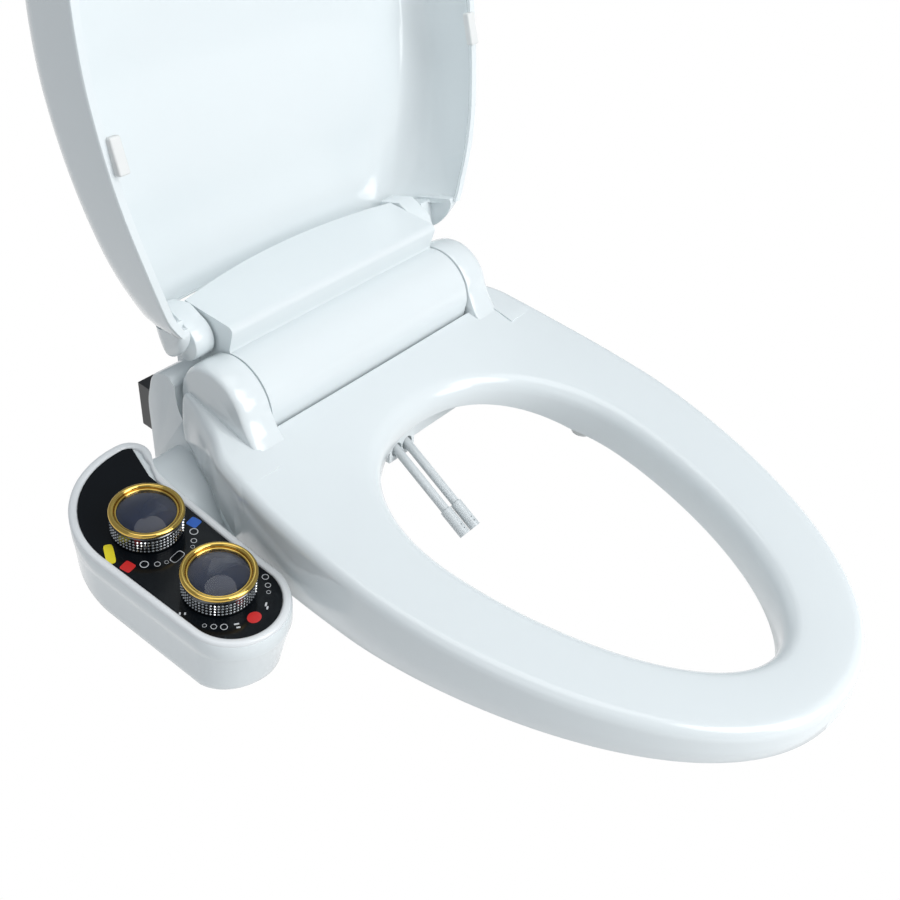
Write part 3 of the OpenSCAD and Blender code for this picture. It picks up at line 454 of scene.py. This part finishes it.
def cheek_low(y):
    if y < BEHIND_Y:
        return SKIRT_LOW + 0.5 + max(0, y - SKIRT_RISE_Y) * SKIRT_RISE
    if y < AXIS_Y:
        return mix(40, AXIS_Z - SWEEP_R + 0.3, (y - BEHIND_Y) / (AXIS_Y - BEHIND_Y))
    return AXIS_Z + 0.3 - math.sqrt(SWEEP_R ** 2 - (y - AXIS_Y) ** 2)


def cheek_outer(y):
    side = seat_half(min(y, 6)) - 4.5 * smooth((min(y, 6) - SEAT_REAR) / 30)
    return mix(side + 0.15 - 0.5 * clamp((-56 - y) / 6), 155.0, smooth((y - 2) / 33))


def cheek_section(y):
    """Inner wall, top, rounded outer edge and low edge of the cheek at one y."""
    last = max(0, (y - CHEEK_END + 4) / 4)
    top, low = cheek_top(y) - 4 * last ** 2, cheek_low(y) + 4 * last ** 2
    out = cheek_outer(y) - 1.6 * last ** 2
    back = smooth((y + 34) / 70)
    edge = mix(out - 11, RIDGE_X, back)
    high = min(mix(10.5, 42, smooth((y + 34) / 60)), top - low - 4)
    behind = y > BEHIND_Y
    inner = 153.0 if behind else 142.0
    step = AXIS_Z - math.sqrt(36.0 ** 2 - (y - AXIS_Y) ** 2) if behind else low + 3
    points = [(inner, y, low), (inner, y, step), (143, y, step + 2), (143, y, top + 0.4)]
    for k in range(1, 5):
        points.append((mix(143, edge, k / 5), y, top + 0.4 * (1 - k / 5)))
    for k in range(13):
        a = math.radians(7.5 * k)
        points.append((edge + (out - edge) * math.sin(a), y, top - high * (1 - math.cos(a))))
    points += [(out - 0.3, y, low + 1.5), (out - 1.2, y, low)]
    return points


for side, label in ((1, "left"), (-1, "right")):
    crown = [[(x * side, y, z) for y, z in crown_profile(inset)] for x, inset in CROWN_STEPS]
    white_piece(f"seat_crown_{label}", loft(crown, "cap"), "seat", [f"seat_arm_{label}"], 32)
    cheek = [[(side * x, y, z) for x, y, z in cheek_section(y)] for y in CHEEK_YS]
    white_piece(f"seat_cheek_{label}", loft(cheek, "cap"), "seat", None, 50)

# %% [markdown]
# ## Lid
# The lid is a deep, thin shell drawn closed and then swung open about its hinge. One loft
# goes from the middle of the top, out over the rounded edge, down the side, round the rim
# strip and back up the inside.

# %% Lid shape
LID_W, LID_WIDEST, LID_REACH, LID_REAR = 384.0, 150.0, 478.0, 34.0
LID_ROUND, LID_WALL, LID_RIM, LID_LIP, LID_BLEND = 26.0, 3.5, 6.5, 7.0, 12.0
LID_AXIS = Vector((0, 50.0, 137.0))
LID_SWING = Matrix.Rotation(math.radians(-107), 4, "X")


def lid_half(y):
    back = 24 * max(0, (y + LID_WIDEST) / (19 + LID_WIDEST)) ** 2.2
    return LID_W / 2 - back - 4 * max(0, (y - 19) / 17) ** 1.3


LID_REAR_X = lid_half(LID_REAR)


def lid_outline(t):
    f = fold(t)
    side = -1 if t > 180 else 1
    if f <= WIDEST_AT:
        s, c = math.sin(math.radians(f)), max(0.0, math.cos(math.radians(f)))
        x, y = LID_W / 2 * s ** 0.9, -LID_WIDEST - (LID_REACH - LID_WIDEST) * c ** 1.18
    elif f <= CORNER_AT:
        y = mix(-LID_WIDEST, LID_REAR, (f - WIDEST_AT) / SPAN)
        x = lid_half(y)
    else:
        x, y = LID_REAR_X * (180 - f) / SPAN, LID_REAR
    return Vector((x * side, y))


def lid_rim(y):
    return 44.5 + 0.0975 * (y + SEAT_REACH) + 7 * clamp((y + 50) / 67) ** 2


def lid_side(y):
    if y < -40:
        return 150 - 69 * ((-40 - y) / (LID_REACH - 40)) ** 2
    return 150 - 20 * ((y + 40) / (LID_REAR + 40)) ** 2


def lid_top(p):
    wide = LID_W / 2 if p.y < -LID_WIDEST else lid_half(p.y)
    ahead = max(0, (-LID_WIDEST - p.y) / (LID_REACH - LID_WIDEST))
    back = clamp((p.y + LID_WIDEST) / (LID_REAR + LID_WIDEST)) ** 2
    rise, power = mix(13, 54, back), mix(2.2, 8, back)
    return lid_side(p.y) + rise * max(0, 1 - min(1, abs(p.x) / wide) ** power - ahead ** 1.7)


def lid_low(t):
    p = lid_outline(t)
    if fold(t) <= CORNER_AT:
        return lid_rim(p.y)
    return mix(lid_rim(p.y), lid_top(p) - LID_LIP, (LID_REAR_X - abs(p.x)) / LID_BLEND)


def lid_column(t, inset):
    """Points from the rim to the middle of the top, on the outside or the inside."""
    p = lid_outline(t)
    y0 = -LID_WIDEST
    spine = Vector((0, y0 + (0.8 if p.y < y0 else 0.9) * (p.y - y0)))
    d = (spine - p).normalized()
    r = LID_ROUND
    if fold(t) > CORNER_AT:
        r = mix(LID_ROUND, 2.5, (LID_REAR_X - abs(p.x)) / LID_BLEND)
    low = lid_low(t)
    strip = clamp((lid_top(p) - low - LID_LIP) / 12)
    q = max(0.5, r - inset)
    rim_in = inset + strip * (LID_RIM - inset) if inset else 0

    def at(n, z):
        v = p + d * n
        return (v.x, v.y, z)

    if inset:
        points = [at(rim_in, low), at(rim_in, low + 1 + 2 * strip)]
        points.append(at(mix(rim_in, inset, 0.6), low + 1.5 + 3.2 * strip))
    else:
        points = [at(0.8 * strip, low), at(0, low + 1), at(0, low + 1.4 + 2 * strip)]
    points.append(at(inset, low + 2 + 4 * strip))
    for k in range(10):
        a = math.radians(10 * k)
        n = inset + q * (1 - math.cos(a))
        points.append(at(n, lid_top(p + d * n) - inset - q * (1 - math.sin(a))))
    edge = p + d * (inset + q)
    for k in range(1, 15):
        v = spine + (edge - spine) * (1 - k / 14)
        points.append((v.x, v.y, lid_top(v) - inset))
    return points


def swing(points):
    turned = [LID_SWING @ (Vector(p) - LID_AXIS) + LID_AXIS for p in points]
    return [tuple(v) for v in turned]


columns = []
for k in range(STATIONS):
    t = 360 * k / STATIONS
    columns.append(swing(lid_column(t, 0)[::-1] + lid_column(t, LID_WALL)))
lid_bm = loft(columns + columns[:1], closed=False)
white_piece("lid_moulding", lid_bm, "lid", ["lid_shell"], 42)

# %% [markdown]
# ## Lugs and rear corners of the lid
# A round lug on each side turns on the lid's pin. Outside it, the lid's side closes in a
# rounded corner behind the seat's ear.

# %% Lugs and corners
LUG_R, LUG_X1 = 17.5, 138.5
NECK_X, NECK_Y, NECK_LOW = 144.0, LID_REAR - 8, 139.0
LOBE_REAR, LOBE_STEP_X = 57.0, 149.8
LUG_STEPS = (
    (EAR_IN, 2.0), (EAR_IN + 0.7, 0.6), (EAR_IN + 2.2, 0),
    (LUG_X1 - 2, 0), (LUG_X1 - 0.5, 0.5), (LUG_X1, 1.4),
)
LOBE_XS = (
    137.5, 141, 145, 149.7, 149.9, 151, 152.5, 154, 155.5, 157, 158, 158.7, 159.1, LID_REAR_X - 0.05
)


def lug_profile(inset):
    """The round lug and its neck to the lid, in y and z with the lid closed."""
    r = LUG_R - inset
    lug_arc = [on_circle(LID_AXIS.y, LID_AXIS.z, r, a) for a in range(225, 455, 6)]
    neck_top = lid_top(Vector((NECK_X, LID_REAR - 6))) - 2
    return [(NECK_Y, NECK_LOW + inset)] + lug_arc + [(NECK_Y, neck_top)]


def lobe_profile(x):
    """The rear corner of the lid in y and z at one distance x from the middle."""
    outer = x > LOBE_STEP_X
    share = (x - LOBE_STEP_X) / (LID_REAR_X - LOBE_STEP_X)
    reach = math.sqrt(max(0.0, 1 - share ** 2)) if outer else 1.0
    depth = 0.3 + (LOBE_REAR - LID_REAR) * reach
    low, front = (104.3, LID_REAR - 4) if outer else (129.0, LID_REAR - 2)
    corner = clamp((x - (LID_REAR_X - LID_ROUND)) / LID_ROUND, 0, 0.9999)
    high = 150.2 - LID_ROUND + LID_ROUND * math.sqrt(1 - corner ** 2)
    middle = 134.0 if high > 136 else high - 3
    points = [(front, high - 0.4), (front, low + 0.5)]
    for k in range(19):
        s, c = math.sin(math.radians(5 * k)), math.cos(math.radians(5 * k))
        points.append((LID_REAR + depth * s ** 1.38, middle - (middle - low) * c ** 1.38))
    for k in range(1, 19):
        s, c = math.sin(math.radians(5 * k)), math.cos(math.radians(5 * k))
        points.append((LID_REAR + depth * c, middle + (high - middle) * s))
    return points


for side, label in ((1, "left"), (-1, "right")):
    lug = [swing([(side * x, y, z) for y, z in lug_profile(inset)]) for x, inset in LUG_STEPS]
    white_piece(f"lid_lug_round_{label}", loft(lug, "cap"), "lid", [f"lid_lug_{label}"], 40)
    lobe = [swing([(side * x, y, z) for y, z in lobe_profile(x)]) for x in LOBE_XS]
    white_piece(
        f"lid_corner_round_{label}", loft(lobe, "cap"), "lid", [f"lid_corner_{label}"], 50
    )

# %% [markdown]
# ## Hinge housing
# The fixed middle of the hinge is a barrel that runs into a raised back. Seen from the side it
# is one line: up the front, over the barrel, through a soft hollow and round the top edge.

# %% Housing
HUMP_H, HUMP_REAR, HUMP_ARC, HOUSING_REAR = 157.5, 84.0, 472.0, 85.0
SHOULDER_HALF, SHOULDER_R, SHOULDER_TOP = 152.0, 39.2, 107.5
TRAY_TOP, TRAY_FRONT = 5.0, -46.5
# Distance from the middle, and how far a shoulder's outline is drawn in there.
SHOULDER_STEPS = (
    (HOUSING_HALF - 3, 0), (SHOULDER_HALF - 2, 0), (SHOULDER_HALF - 0.6, 0.5), (SHOULDER_HALF, 1.6)
)


def rounded(points, radii, steps=6):
    """Rounds the corners of an open chain of (y, z) points by the given radii."""
    out = [points[0]]
    for before, here, after, radius in zip(points, points[1:], points[2:], radii):
        b, h, a = Vector(before), Vector(here), Vector(after)
        u, v = (b - h).normalized(), (a - h).normalized()
        reach = min(radius, 0.49 * (b - h).length, 0.49 * (a - h).length)
        for k in range(steps + 1):
            s = k / steps
            q = h + u * reach * (1 - s) ** 2 + v * reach * s ** 2
            out.append((q.x, q.y))
    out.append(points[-1])
    return out


def middle_profile(x):
    """Side view of the housing at one x, from the tray's front edge over the top."""
    rear = HUMP_REAR - HUMP_ARC + math.sqrt(HUMP_ARC ** 2 - x * x)
    front = rounded(
        [(TRAY_FRONT, TRAY_TOP), (TRAY_FRONT, 38), (-36, 46), (-26, 58), (-26, 82)], (4, 6, 8)
    )
    barrel = [on_circle(AXIS_Y, AXIS_Z, BARREL_R, a) for a in range(180, 73, -4)]
    face = AXIS_Y + 6
    hollow = (face + 3.5, AXIS_Z + BARREL_R + 1.0)
    back = rounded(
        [barrel[-1], hollow, (face - 2.5, HUMP_H - 2), (rear - 0.4, HUMP_H - 0.4),
         (rear, 120), (rear, 112), (HOUSING_REAR, 108), (HOUSING_REAR, TRAY_TOP)],
        (12, 7, 1.5, 4, 4, 4),
    )
    return front + barrel[:-1] + back


def shoulder_profile():
    """Side view of a shoulder, round the barrel's axis and down to the tray's rear edge."""
    bow = [on_circle(AXIS_Y, AXIS_Z, SHOULDER_R, -62 + 8 * k) for k in range(18)]
    points = [(TRAY_FRONT, TRAY_TOP), (TRAY_FRONT, 12), (-26, 26), (-12, 38), (2, 54)]
    points += [p for p in bow if p[1] < SHOULDER_TOP]
    points += [(52, SHOULDER_TOP), (62, SHOULDER_TOP), (76, 99.5)]
    points += [(HOUSING_REAR, 70), (HOUSING_REAR, TRAY_TOP)]
    return rounded(points, [2] * (len(points) - 6) + [3, 6, 8, 8], 4)


def shoulder_section(x, inset):
    section = []
    for y, z in shoulder_profile():
        inward = -inset if y > 40 else inset
        section.append((x, y + inward, z - inset if z > 60 else z))
    return section


middle_xs = [-HOUSING_HALF, -HOUSING_HALF + 0.8] + [-114 + 6 * k for k in range(39)]
middle_xs += [HOUSING_HALF - 0.8, HOUSING_HALF]
housing_bm = loft([[(x, y, z) for y, z in middle_profile(x)] for x in middle_xs], "cap")
for side in (1, -1):
    part = loft([shoulder_section(side * x, inset) for x, inset in SHOULDER_STEPS], "cap")
    mesh = bpy.data.meshes.new("shoulder")
    part.to_mesh(mesh)
    part.free()
    housing_bm.from_mesh(mesh)
    bpy.data.meshes.remove(mesh)
white_piece("housing_moulding", housing_bm, "base", ["housing_cover"], 38)

# %% [markdown]
# ## Arm of the control box
# A soft, low bridge joins the housing to the box under the seat's edge.

# %% Arm
ARM_START, ARM_END = -150, -197
arm_sections = []
for x in [*range(ARM_START, ARM_END, -6), ARM_END]:
    s = (ARM_START - x) / (ARM_START - ARM_END)
    chain = [(-38, 9), (-38, 15), (-24, 26), (-10, 38 - 3 * s), (8, 43 - 2 * s), (40, 44 - 3 * s),
             (55, 40), (58, 22), (58, 9)]
    arm_sections.append([(x, y, z) for y, z in rounded(chain, (3, 10, 12, 14, 12, 8, 6))])
white_piece("control_arm_moulding", loft(arm_sections, "cap"), "base", ["control_arm"], 50)

# %% [markdown]
# ## Plain mouldings
# The tray, bracket, holder and bumpers already have the right forms in the CAD. Real
# mouldings have no knife edges, though, so each gets a merged copy of its mesh with a bevel.

# %% Bevelled copies
for name, body, width in (
    ("base_tray", "base", 0.8), ("mounting_bracket", "base", 0.8),
    ("nozzle_holder", "base", 1.0), ("nozzle_guard", "base", 1.5), ("inlet_block", "base", 2.0),
    ("lid_bumper_front_left", "lid", 1.5), ("lid_bumper_front_right", "lid", 1.5),
    ("lid_bumper_rear_left", "lid", 1.5), ("lid_bumper_rear_right", "lid", 1.5),
):
    slot = slot_of_node.get(name, "white_plastic")
    piece(f"{name}_rounded", merged_copy(name), materials[slot], body, [name], 32, width)

# %% [markdown]
# ## Control box
# The case hangs beside the seat. Its wall is upright for a hand's breadth below the rim and
# then leans in towards the floor, which rises at the rear. The same outline, drawn in by a
# growing inset, is lofted from the panel down to the floor.

# %% Control box outline
BOX_IN_X = -(SEAT_W / 2 + 2.5)
FRONT_R, REAR_R, NOSE_R = 42.0, 81.0, 17.0
FRONT_C = Vector((BOX_IN_X - FRONT_R + 1, -105))
REAR_C = Vector((BOX_IN_X - 9, -8))
NOSE_DEG = 86.5
NOSE_C = REAR_C + Vector(on_circle(0, 0, REAR_R - NOSE_R, NOSE_DEG))
PANEL_Y, PANEL_H, TILT = -13.0, 43.0, math.radians(5.84)
BOX_LOW = PANEL_H - 69
PANEL = Matrix.Translation((0, PANEL_Y, PANEL_H)) @ Matrix.Rotation(TILT, 4, "X")
between = REAR_C - FRONT_C
TANGENT = math.acos((REAR_R - FRONT_R) / between.length)
OUTER = math.atan2(between.y, between.x) - math.pi - TANGENT
CASE_BAND, FLOOR_LEAN, SIDE_RINGS = 15.2, 9.5, 8
# The box's side towards the seat, from the nose: how far inside BOX_IN_X, and y.
SEAT_SIDE = (
    (6.4, 41.5), (3.6, 36.5), (1.6, 30.5), (0.5, 23),
    (0, 12), (0, -12), (0, -40), (0, -70), (0, -91),
)
# How far each ring of the rim lies inside the outline, and its height over the panel.
RIM_STEPS = (
    (0, -1.5), (0, 0.0), (0.35, 0.9), (1.2, 1.5), (2.4, 1.75),
    (4.2, 1.6), (5.6, 1.1), (6.2, 0.5), (6.4, -1.5),
)


def arc(centre, radius, start, stop, count):
    angles = (start + (stop - start) * k / count for k in range(count + 1))
    return [centre + radius * Vector((math.cos(a), math.sin(a))) for a in angles]


def box_outline(inset):
    points = arc(FRONT_C, FRONT_R - inset, math.radians(-6), OUTER, 40)
    points += arc(REAR_C, REAR_R - inset, OUTER, math.radians(NOSE_DEG - 360), 40)
    points += arc(NOSE_C, NOSE_R - inset, math.radians(NOSE_DEG - 6), math.radians(-34), 14)
    for x, y in SEAT_SIDE:
        lean = 0.75 if x > 1 else 0.97
        points.append(Vector((BOX_IN_X + x - inset * lean, y - inset * (1 - lean) * 1.6)))
    return points


def panel_z(y):
    return PANEL_H + (y - PANEL_Y) * math.tan(TILT)


def floor_z(y):
    return BOX_LOW + max(0, y + 45) * 0.36


def wall_normals():
    """The outward direction of the box's wall at each point of the outline."""
    points = box_outline(0)
    count = len(points)
    normals = []
    for k in range(count):
        along = points[(k + 1) % count] - points[k - 1]
        normals.append(Vector((-along.y, along.x)).normalized())
    return points, normals


def box_ring(drop, inset, level=None, lean=0.0):
    """One ring of the case: drop below the panel, or level of the way down to the floor.

    lean draws the front and the seat's side in, and leaves the outer side upright.
    """
    points, normals = wall_normals()
    ring = []
    for p, n in zip(points, normals):
        share = smooth(0.5 + 0.5 * n.dot(Vector((0.6, -0.8))) + 0.12)
        q = p - n * (inset + lean * share)
        top, low = panel_z(q.y) - drop, floor_z(q.y)
        ring.append((q.x, q.y, top if level is None else top + (low - top) * level))
    return ring


case_rings = [box_ring(1.5, 7.5), box_ring(1.5, 0.4), box_ring(2.2, 0)]
case_rings += [box_ring(14, 0), box_ring(CASE_BAND, 0.4)]
for k in range(1, SIDE_RINGS + 1):
    s = k / SIDE_RINGS
    case_rings.append(box_ring(CASE_BAND, 0.5, s * 0.93, 9.0 * s ** 0.9))
for inset, level in ((1.4, 0.975), (4.0, 1.0), (22.0, 1.0)):
    case_rings.append(box_ring(CASE_BAND, inset, level, FLOOR_LEAN))
white_piece(
    "control_case_moulding", loft(case_rings, "cap"), "base", ["control_case", "control_floor"], 40
)

rim_rings = []
for inset, rise in RIM_STEPS:
    flat = [Vector((p.x, p.y - PANEL_Y, rise)) for p in box_outline(inset)]
    rim_rings.append([tuple(PANEL @ p) for p in flat])
rim_bm = loft(rim_rings + rim_rings[:1])
piece("control_rim_moulding", rim_bm, materials["rim_plastic"], "base",
      ["control_rim"], 50)

# %% [markdown]
# ## Printed marks
# Warm and cold, strong and soft are shown by squares, rings of growing size and a dot. They
# are thin raised prints on the panel, generic and without words.


# %% Marks
MARK_POINTS, MARK_THICK, MARK_LIFT = 40, 0.12, 0.02


def printed(name, x, y, material, size, hole=0.0, turn=0.0, corner=0.3, wide=1.0):
    """A rounded plate or a ring lying on the panel, size across."""
    bm = bmesh.new()
    bmesh.ops.create_circle(bm, segments=MARK_POINTS, radius=size / 2, cap_ends=not hole)
    for v in bm.verts:
        angle = math.atan2(v.co.y, v.co.x)
        power = 2 / max(corner, 0.05)
        c, s = abs(math.cos(angle)), abs(math.sin(angle))
        v.co *= 1 / (c ** power + s ** power) ** (1 / power)
    if hole:
        made = bmesh.ops.extrude_edge_only(bm, edges=bm.edges[:])
        inner = [g for g in made["geom"] if isinstance(g, bmesh.types.BMVert)]
        bmesh.ops.scale(bm, vec=(hole, hole, 1), verts=inner)
    bmesh.ops.scale(bm, vec=(wide, 1, 1), verts=bm.verts[:])
    lifted = bmesh.ops.extrude_face_region(bm, geom=bm.faces[:])
    fresh = [g for g in lifted["geom"] if isinstance(g, bmesh.types.BMVert)]
    bmesh.ops.translate(bm, vec=(0, 0, MARK_THICK), verts=fresh)
    bmesh.ops.rotate(bm, matrix=Matrix.Rotation(math.radians(turn), 3, "Z"), verts=bm.verts[:])
    spot = PANEL @ Matrix.Translation((x, (y - PANEL_Y) / math.cos(TILT), MARK_LIFT))
    bmesh.ops.transform(bm, matrix=spot, verts=bm.verts[:])
    bmesh.ops.scale(bm, vec=(MM, MM, MM), verts=bm.verts[:])
    bmesh.ops.recalc_face_normals(bm, faces=bm.faces[:])
    piece(name, bm, marks[material], "base")


printed("mark_cold", -203, -30, "ink_blue", 9, turn=12)
printed("mark_warm", -266, -32, "ink_red", 9, turn=12)
printed("mark_label", -268, -14, "ink_yellow", 7, turn=62, wide=2.7, corner=0.45)
printed("mark_stop", -231, -127, "ink_red", 9.5, corner=1.0, wide=1.15)
RINGS = ((-209, -37, 6.5), (-215, -44, 4.6), (-219.5, -48, 3.2), (-256, -38, 6.5), (-249, -44, 4.6),
         (-243, -47, 3.2), (-200, -105, 5.2), (-204, -112, 4.4), (-208, -117, 3.2),
         (-252, -119, 5.2), (-257, -114, 4.4), (-261, -109, 3.2))
for number, (x, y, size) in enumerate(RINGS):
    printed(f"mark_ring_{number:02d}", x, y, "ink_white", size, hole=0.82, corner=1.0)
printed("mark_tag", -234, -48, "ink_white", 6.4, hole=0.9, wide=1.9, corner=0.5, turn=10)
for number, (x, y, w, turn) in enumerate((
    (-217, -124, 2.8, 35), (-218.5, -127, 2.2, 35), (-244, -123, 2.8, -30), (-245, -126, 2.2, -30),
    (-264, -92, 1.6, 40), (-266.5, -89.5, 1.6, 40),
)):
    printed(f"mark_bar_{number}", x, y, "ink_white", 1.3, wide=w, corner=0.2, turn=turn)

# %% [markdown]
# ## Knobs
# Each knob is a dark metal skirt with rows of small bright studs, a gold ring on top of it and a
# clear dome over a dark ruled dial. They are turned shapes, so each is a short profile spun
# round the knob's axis.

# %% Spin helper
KNOB_X, KNOB_VS = -231.6, (1.6, -77.9)
KNOB_R, KNOB_TOP, RING_R = 27.5, 16.6, 2.2
SKIRT_R, LIP_R, WELL_R = KNOB_R - 0.9, KNOB_R - 0.2, KNOB_R - 4
DOME_R, DOME_RISE, DOME_STEPS = KNOB_R - 4.3, 5.0, 24
RING_C = KNOB_R - 0.8 - RING_R + 1.2


def knob_place(v):
    return PANEL @ Matrix.Translation((KNOB_X, v, 0))


def spun(profile, place, steps=96):
    """Spins a profile of (radius, height) in mm round the knob's axis."""
    bm = bmesh.new()
    verts = [bm.verts.new((r, 0, z)) for r, z in profile]
    edges = [bm.edges.new(pair) for pair in zip(verts, verts[1:])]
    bmesh.ops.spin(bm, geom=verts + edges, cent=(0, 0, 0), axis=(0, 0, 1), angle=2 * math.pi,
                   steps=steps, use_merge=True)
    bmesh.ops.remove_doubles(bm, verts=bm.verts[:], dist=1e-4)
    bmesh.ops.transform(bm, matrix=place, verts=bm.verts[:])
    bmesh.ops.scale(bm, vec=(MM, MM, MM), verts=bm.verts[:])
    bmesh.ops.recalc_face_normals(bm, faces=bm.faces[:])
    return bm


def circle_profile(centre_r, centre_z, radius, start, stop, count):
    angles = (start + (stop - start) * k / count for k in range(count + 1))
    return [on_circle(centre_r, centre_z, radius, a) for a in angles]


# %% Knobs
STUD_COLUMNS, STUD_ROWS, STUD_STEP = 60, 4, 3.0
skirt = [(KNOB_R - 3.5, 0.6), (KNOB_R - 1.4, 0.6), (SKIRT_R, 1.2), (SKIRT_R, 14.2),
         (LIP_R, 14.8), (LIP_R, 15.8), (KNOB_R - 1.0, KNOB_TOP), (WELL_R, KNOB_TOP),
         (WELL_R, 9.0), (0, 9.0)]
ring = circle_profile(RING_C, KNOB_TOP + RING_R - 0.4, RING_R, -60, 300, 24)
bead = circle_profile(RING_C - 3.1, KNOB_TOP + 0.9, 1.0, -60, 300, 14)
ball = (DOME_R ** 2 + DOME_RISE ** 2) / (2 * DOME_RISE)
ball_z = KNOB_TOP + 0.5 + DOME_RISE - ball
dome = [(DOME_R, KNOB_TOP - 1.5)]
for k in range(DOME_STEPS + 1):
    a = math.asin(DOME_R / ball) * (1 - k / DOME_STEPS)
    dome.append((ball * math.sin(a), ball_z + ball * math.cos(a)))


def studs(place):
    bm = bmesh.new()
    for column in range(STUD_COLUMNS):
        for row in range(STUD_ROWS):
            around = Matrix.Rotation(2 * math.pi * column / STUD_COLUMNS, 4, "Z")
            out_there = Matrix.Translation((SKIRT_R, 0, STUD_STEP * (row + 1)))
            spot = place @ around @ out_there @ Matrix.Rotation(math.pi / 2, 4, "Y")
            bmesh.ops.create_cone(bm, cap_ends=True, segments=4, radius1=1.15, radius2=0.35,
                                  depth=0.8, matrix=spot @ Matrix.Translation((0, 0, 0.3)))
    bmesh.ops.scale(bm, vec=(MM, MM, MM), verts=bm.verts[:])
    return bm


for kind, v in (("temperature", KNOB_VS[0]), ("pressure", KNOB_VS[1])):
    body, place = f"{kind}_dial_knob", knob_place(v)
    chrome, gold = materials["chrome"], materials["gold"]
    piece(f"{kind}_skirt", spun(skirt, place, 120), materials["knob_dark"], body,
          [f"{kind}_knob"], 30)
    piece(f"{kind}_studs", studs(place), chrome, body, None, 20)
    piece(f"{kind}_gold_ring", spun(ring, place), gold, body, [f"{kind}_ring"], 60)
    piece(f"{kind}_gold_bead", spun(bead, place), gold, body, None, 60)
    piece(f"{kind}_lens", spun(dome, place), materials["clear"], body,
          [f"{kind}_dome"], 60)

# %% [markdown]
# ## Studio
# The object hangs in front of a plain white ground. Soft lights from above and from the front,
# with a weak one from the left, keep the tops pale and the near sides a cool grey.

# %% Floor and world
def empty_tree(owner):
    owner.use_nodes = True
    for node in list(owner.node_tree.nodes):
        owner.node_tree.nodes.remove(node)
    return owner.node_tree


def show(tree, kind, shader):
    """Ends a tree with its output node."""
    tree.links.new(shader.socket, tree.nodes.new(kind).inputs["Surface"])


def any_ray(tree, *kinds):
    """1 for the named kinds of ray, and 0 for the others."""
    path = tree.nodes.new("ShaderNodeLightPath")
    seen, *others = [Wire(tree, path.outputs[f"Is {kind} Ray"]) for kind in kinds]
    for other in others:
        seen = seen.call("MAXIMUM", other)
    return seen


floor_material = bpy.data.materials.new("floor")
tree = empty_tree(floor_material)
matte = make_node(tree, "ShaderNodeBsdfDiffuse", {}, {"Color": (0.8, 0.8, 0.8, 1)})
glow = make_node(tree, "ShaderNodeEmission", {}, {"Color": (1, 1, 1, 1), "Strength": 1.0})
seen = any_ray(tree, "Camera", "Glossy", "Transmission")
ground = make_node(tree, "ShaderNodeMixShader", {}, {0: seen, 1: matte, 2: glow})
show(tree, "ShaderNodeOutputMaterial", ground)

bm = bmesh.new()
bmesh.ops.create_grid(bm, x_segments=1, y_segments=1, size=6.0)
bmesh.ops.translate(bm, vec=(0, 0, -0.04), verts=bm.verts[:])
floor_mesh = bpy.data.meshes.new("floor")
bm.to_mesh(floor_mesh)
bm.free()
floor_mesh.materials.append(floor_material)
floor = bpy.data.objects.new("floor", floor_mesh)
bpy.context.scene.collection.objects.link(floor)

world = bpy.data.worlds.new("studio")
bpy.context.scene.world = world
tree = empty_tree(world)
soft = make_node(
    tree, "ShaderNodeBackground", {}, {"Color": (0.86, 0.93, 1.0, 1), "Strength": 0.35}
)
white = make_node(tree, "ShaderNodeBackground", {}, {"Color": (1, 1, 1, 1), "Strength": 1.0})
shown = any_ray(tree, "Camera", "Transmission")
both = make_node(tree, "ShaderNodeMixShader", {}, {0: shown, 1: soft, 2: white})
show(tree, "ShaderNodeOutputWorld", both)


# %% Lamps
AIM = Vector((0, -0.15, 0.1))


def lamp(name, place, size, power):
    data = bpy.data.lights.new(name, "AREA")
    data.shape, data.size, data.energy = "DISK", size, power
    made = bpy.data.objects.new(name, data)
    made.location = place
    made.rotation_euler = (AIM - Vector(place)).to_track_quat("-Z", "Y").to_euler()
    bpy.context.scene.collection.objects.link(made)


lamp("top", (0.0, -0.2, 2.0), 1.6, 9)
lamp("front", (0.2, -1.7, 1.7), 1.4, 21)
lamp("low front", (0.5, -2.0, 0.7), 1.0, 13)
lamp("left", (-1.7, -0.6, 1.2), 1.2, 2)

# %% Camera
AZIMUTH, ELEVATION, ROLL = (math.radians(a) for a in (-52.792, 39.298, 4.752))
TARGET, DISTANCE = Vector((0.021385, -0.096463, 0.019264)), 0.999675
back = Vector((
    math.sin(AZIMUTH) * math.cos(ELEVATION),
    -math.cos(AZIMUTH) * math.cos(ELEVATION),
    math.sin(ELEVATION),
))
right = Vector((math.cos(AZIMUTH), math.sin(AZIMUTH), 0))
up = back.cross(right)
right_rolled = right * math.cos(ROLL) + up * math.sin(ROLL)
up_rolled = up * math.cos(ROLL) - right * math.sin(ROLL)
camera_data = bpy.data.cameras.new("camera")
camera_data.sensor_width = 36
camera_data.lens = 46.43
camera_data.clip_end = 50
camera = bpy.data.objects.new("camera", camera_data)
turn = Matrix((right_rolled, up_rolled, back)).transposed()
camera.matrix_world = Matrix.Translation(TARGET + back * DISTANCE) @ turn.to_4x4()
bpy.context.scene.collection.objects.link(camera)
bpy.context.scene.camera = camera
bpy.context.scene.view_settings.view_transform = "Standard"
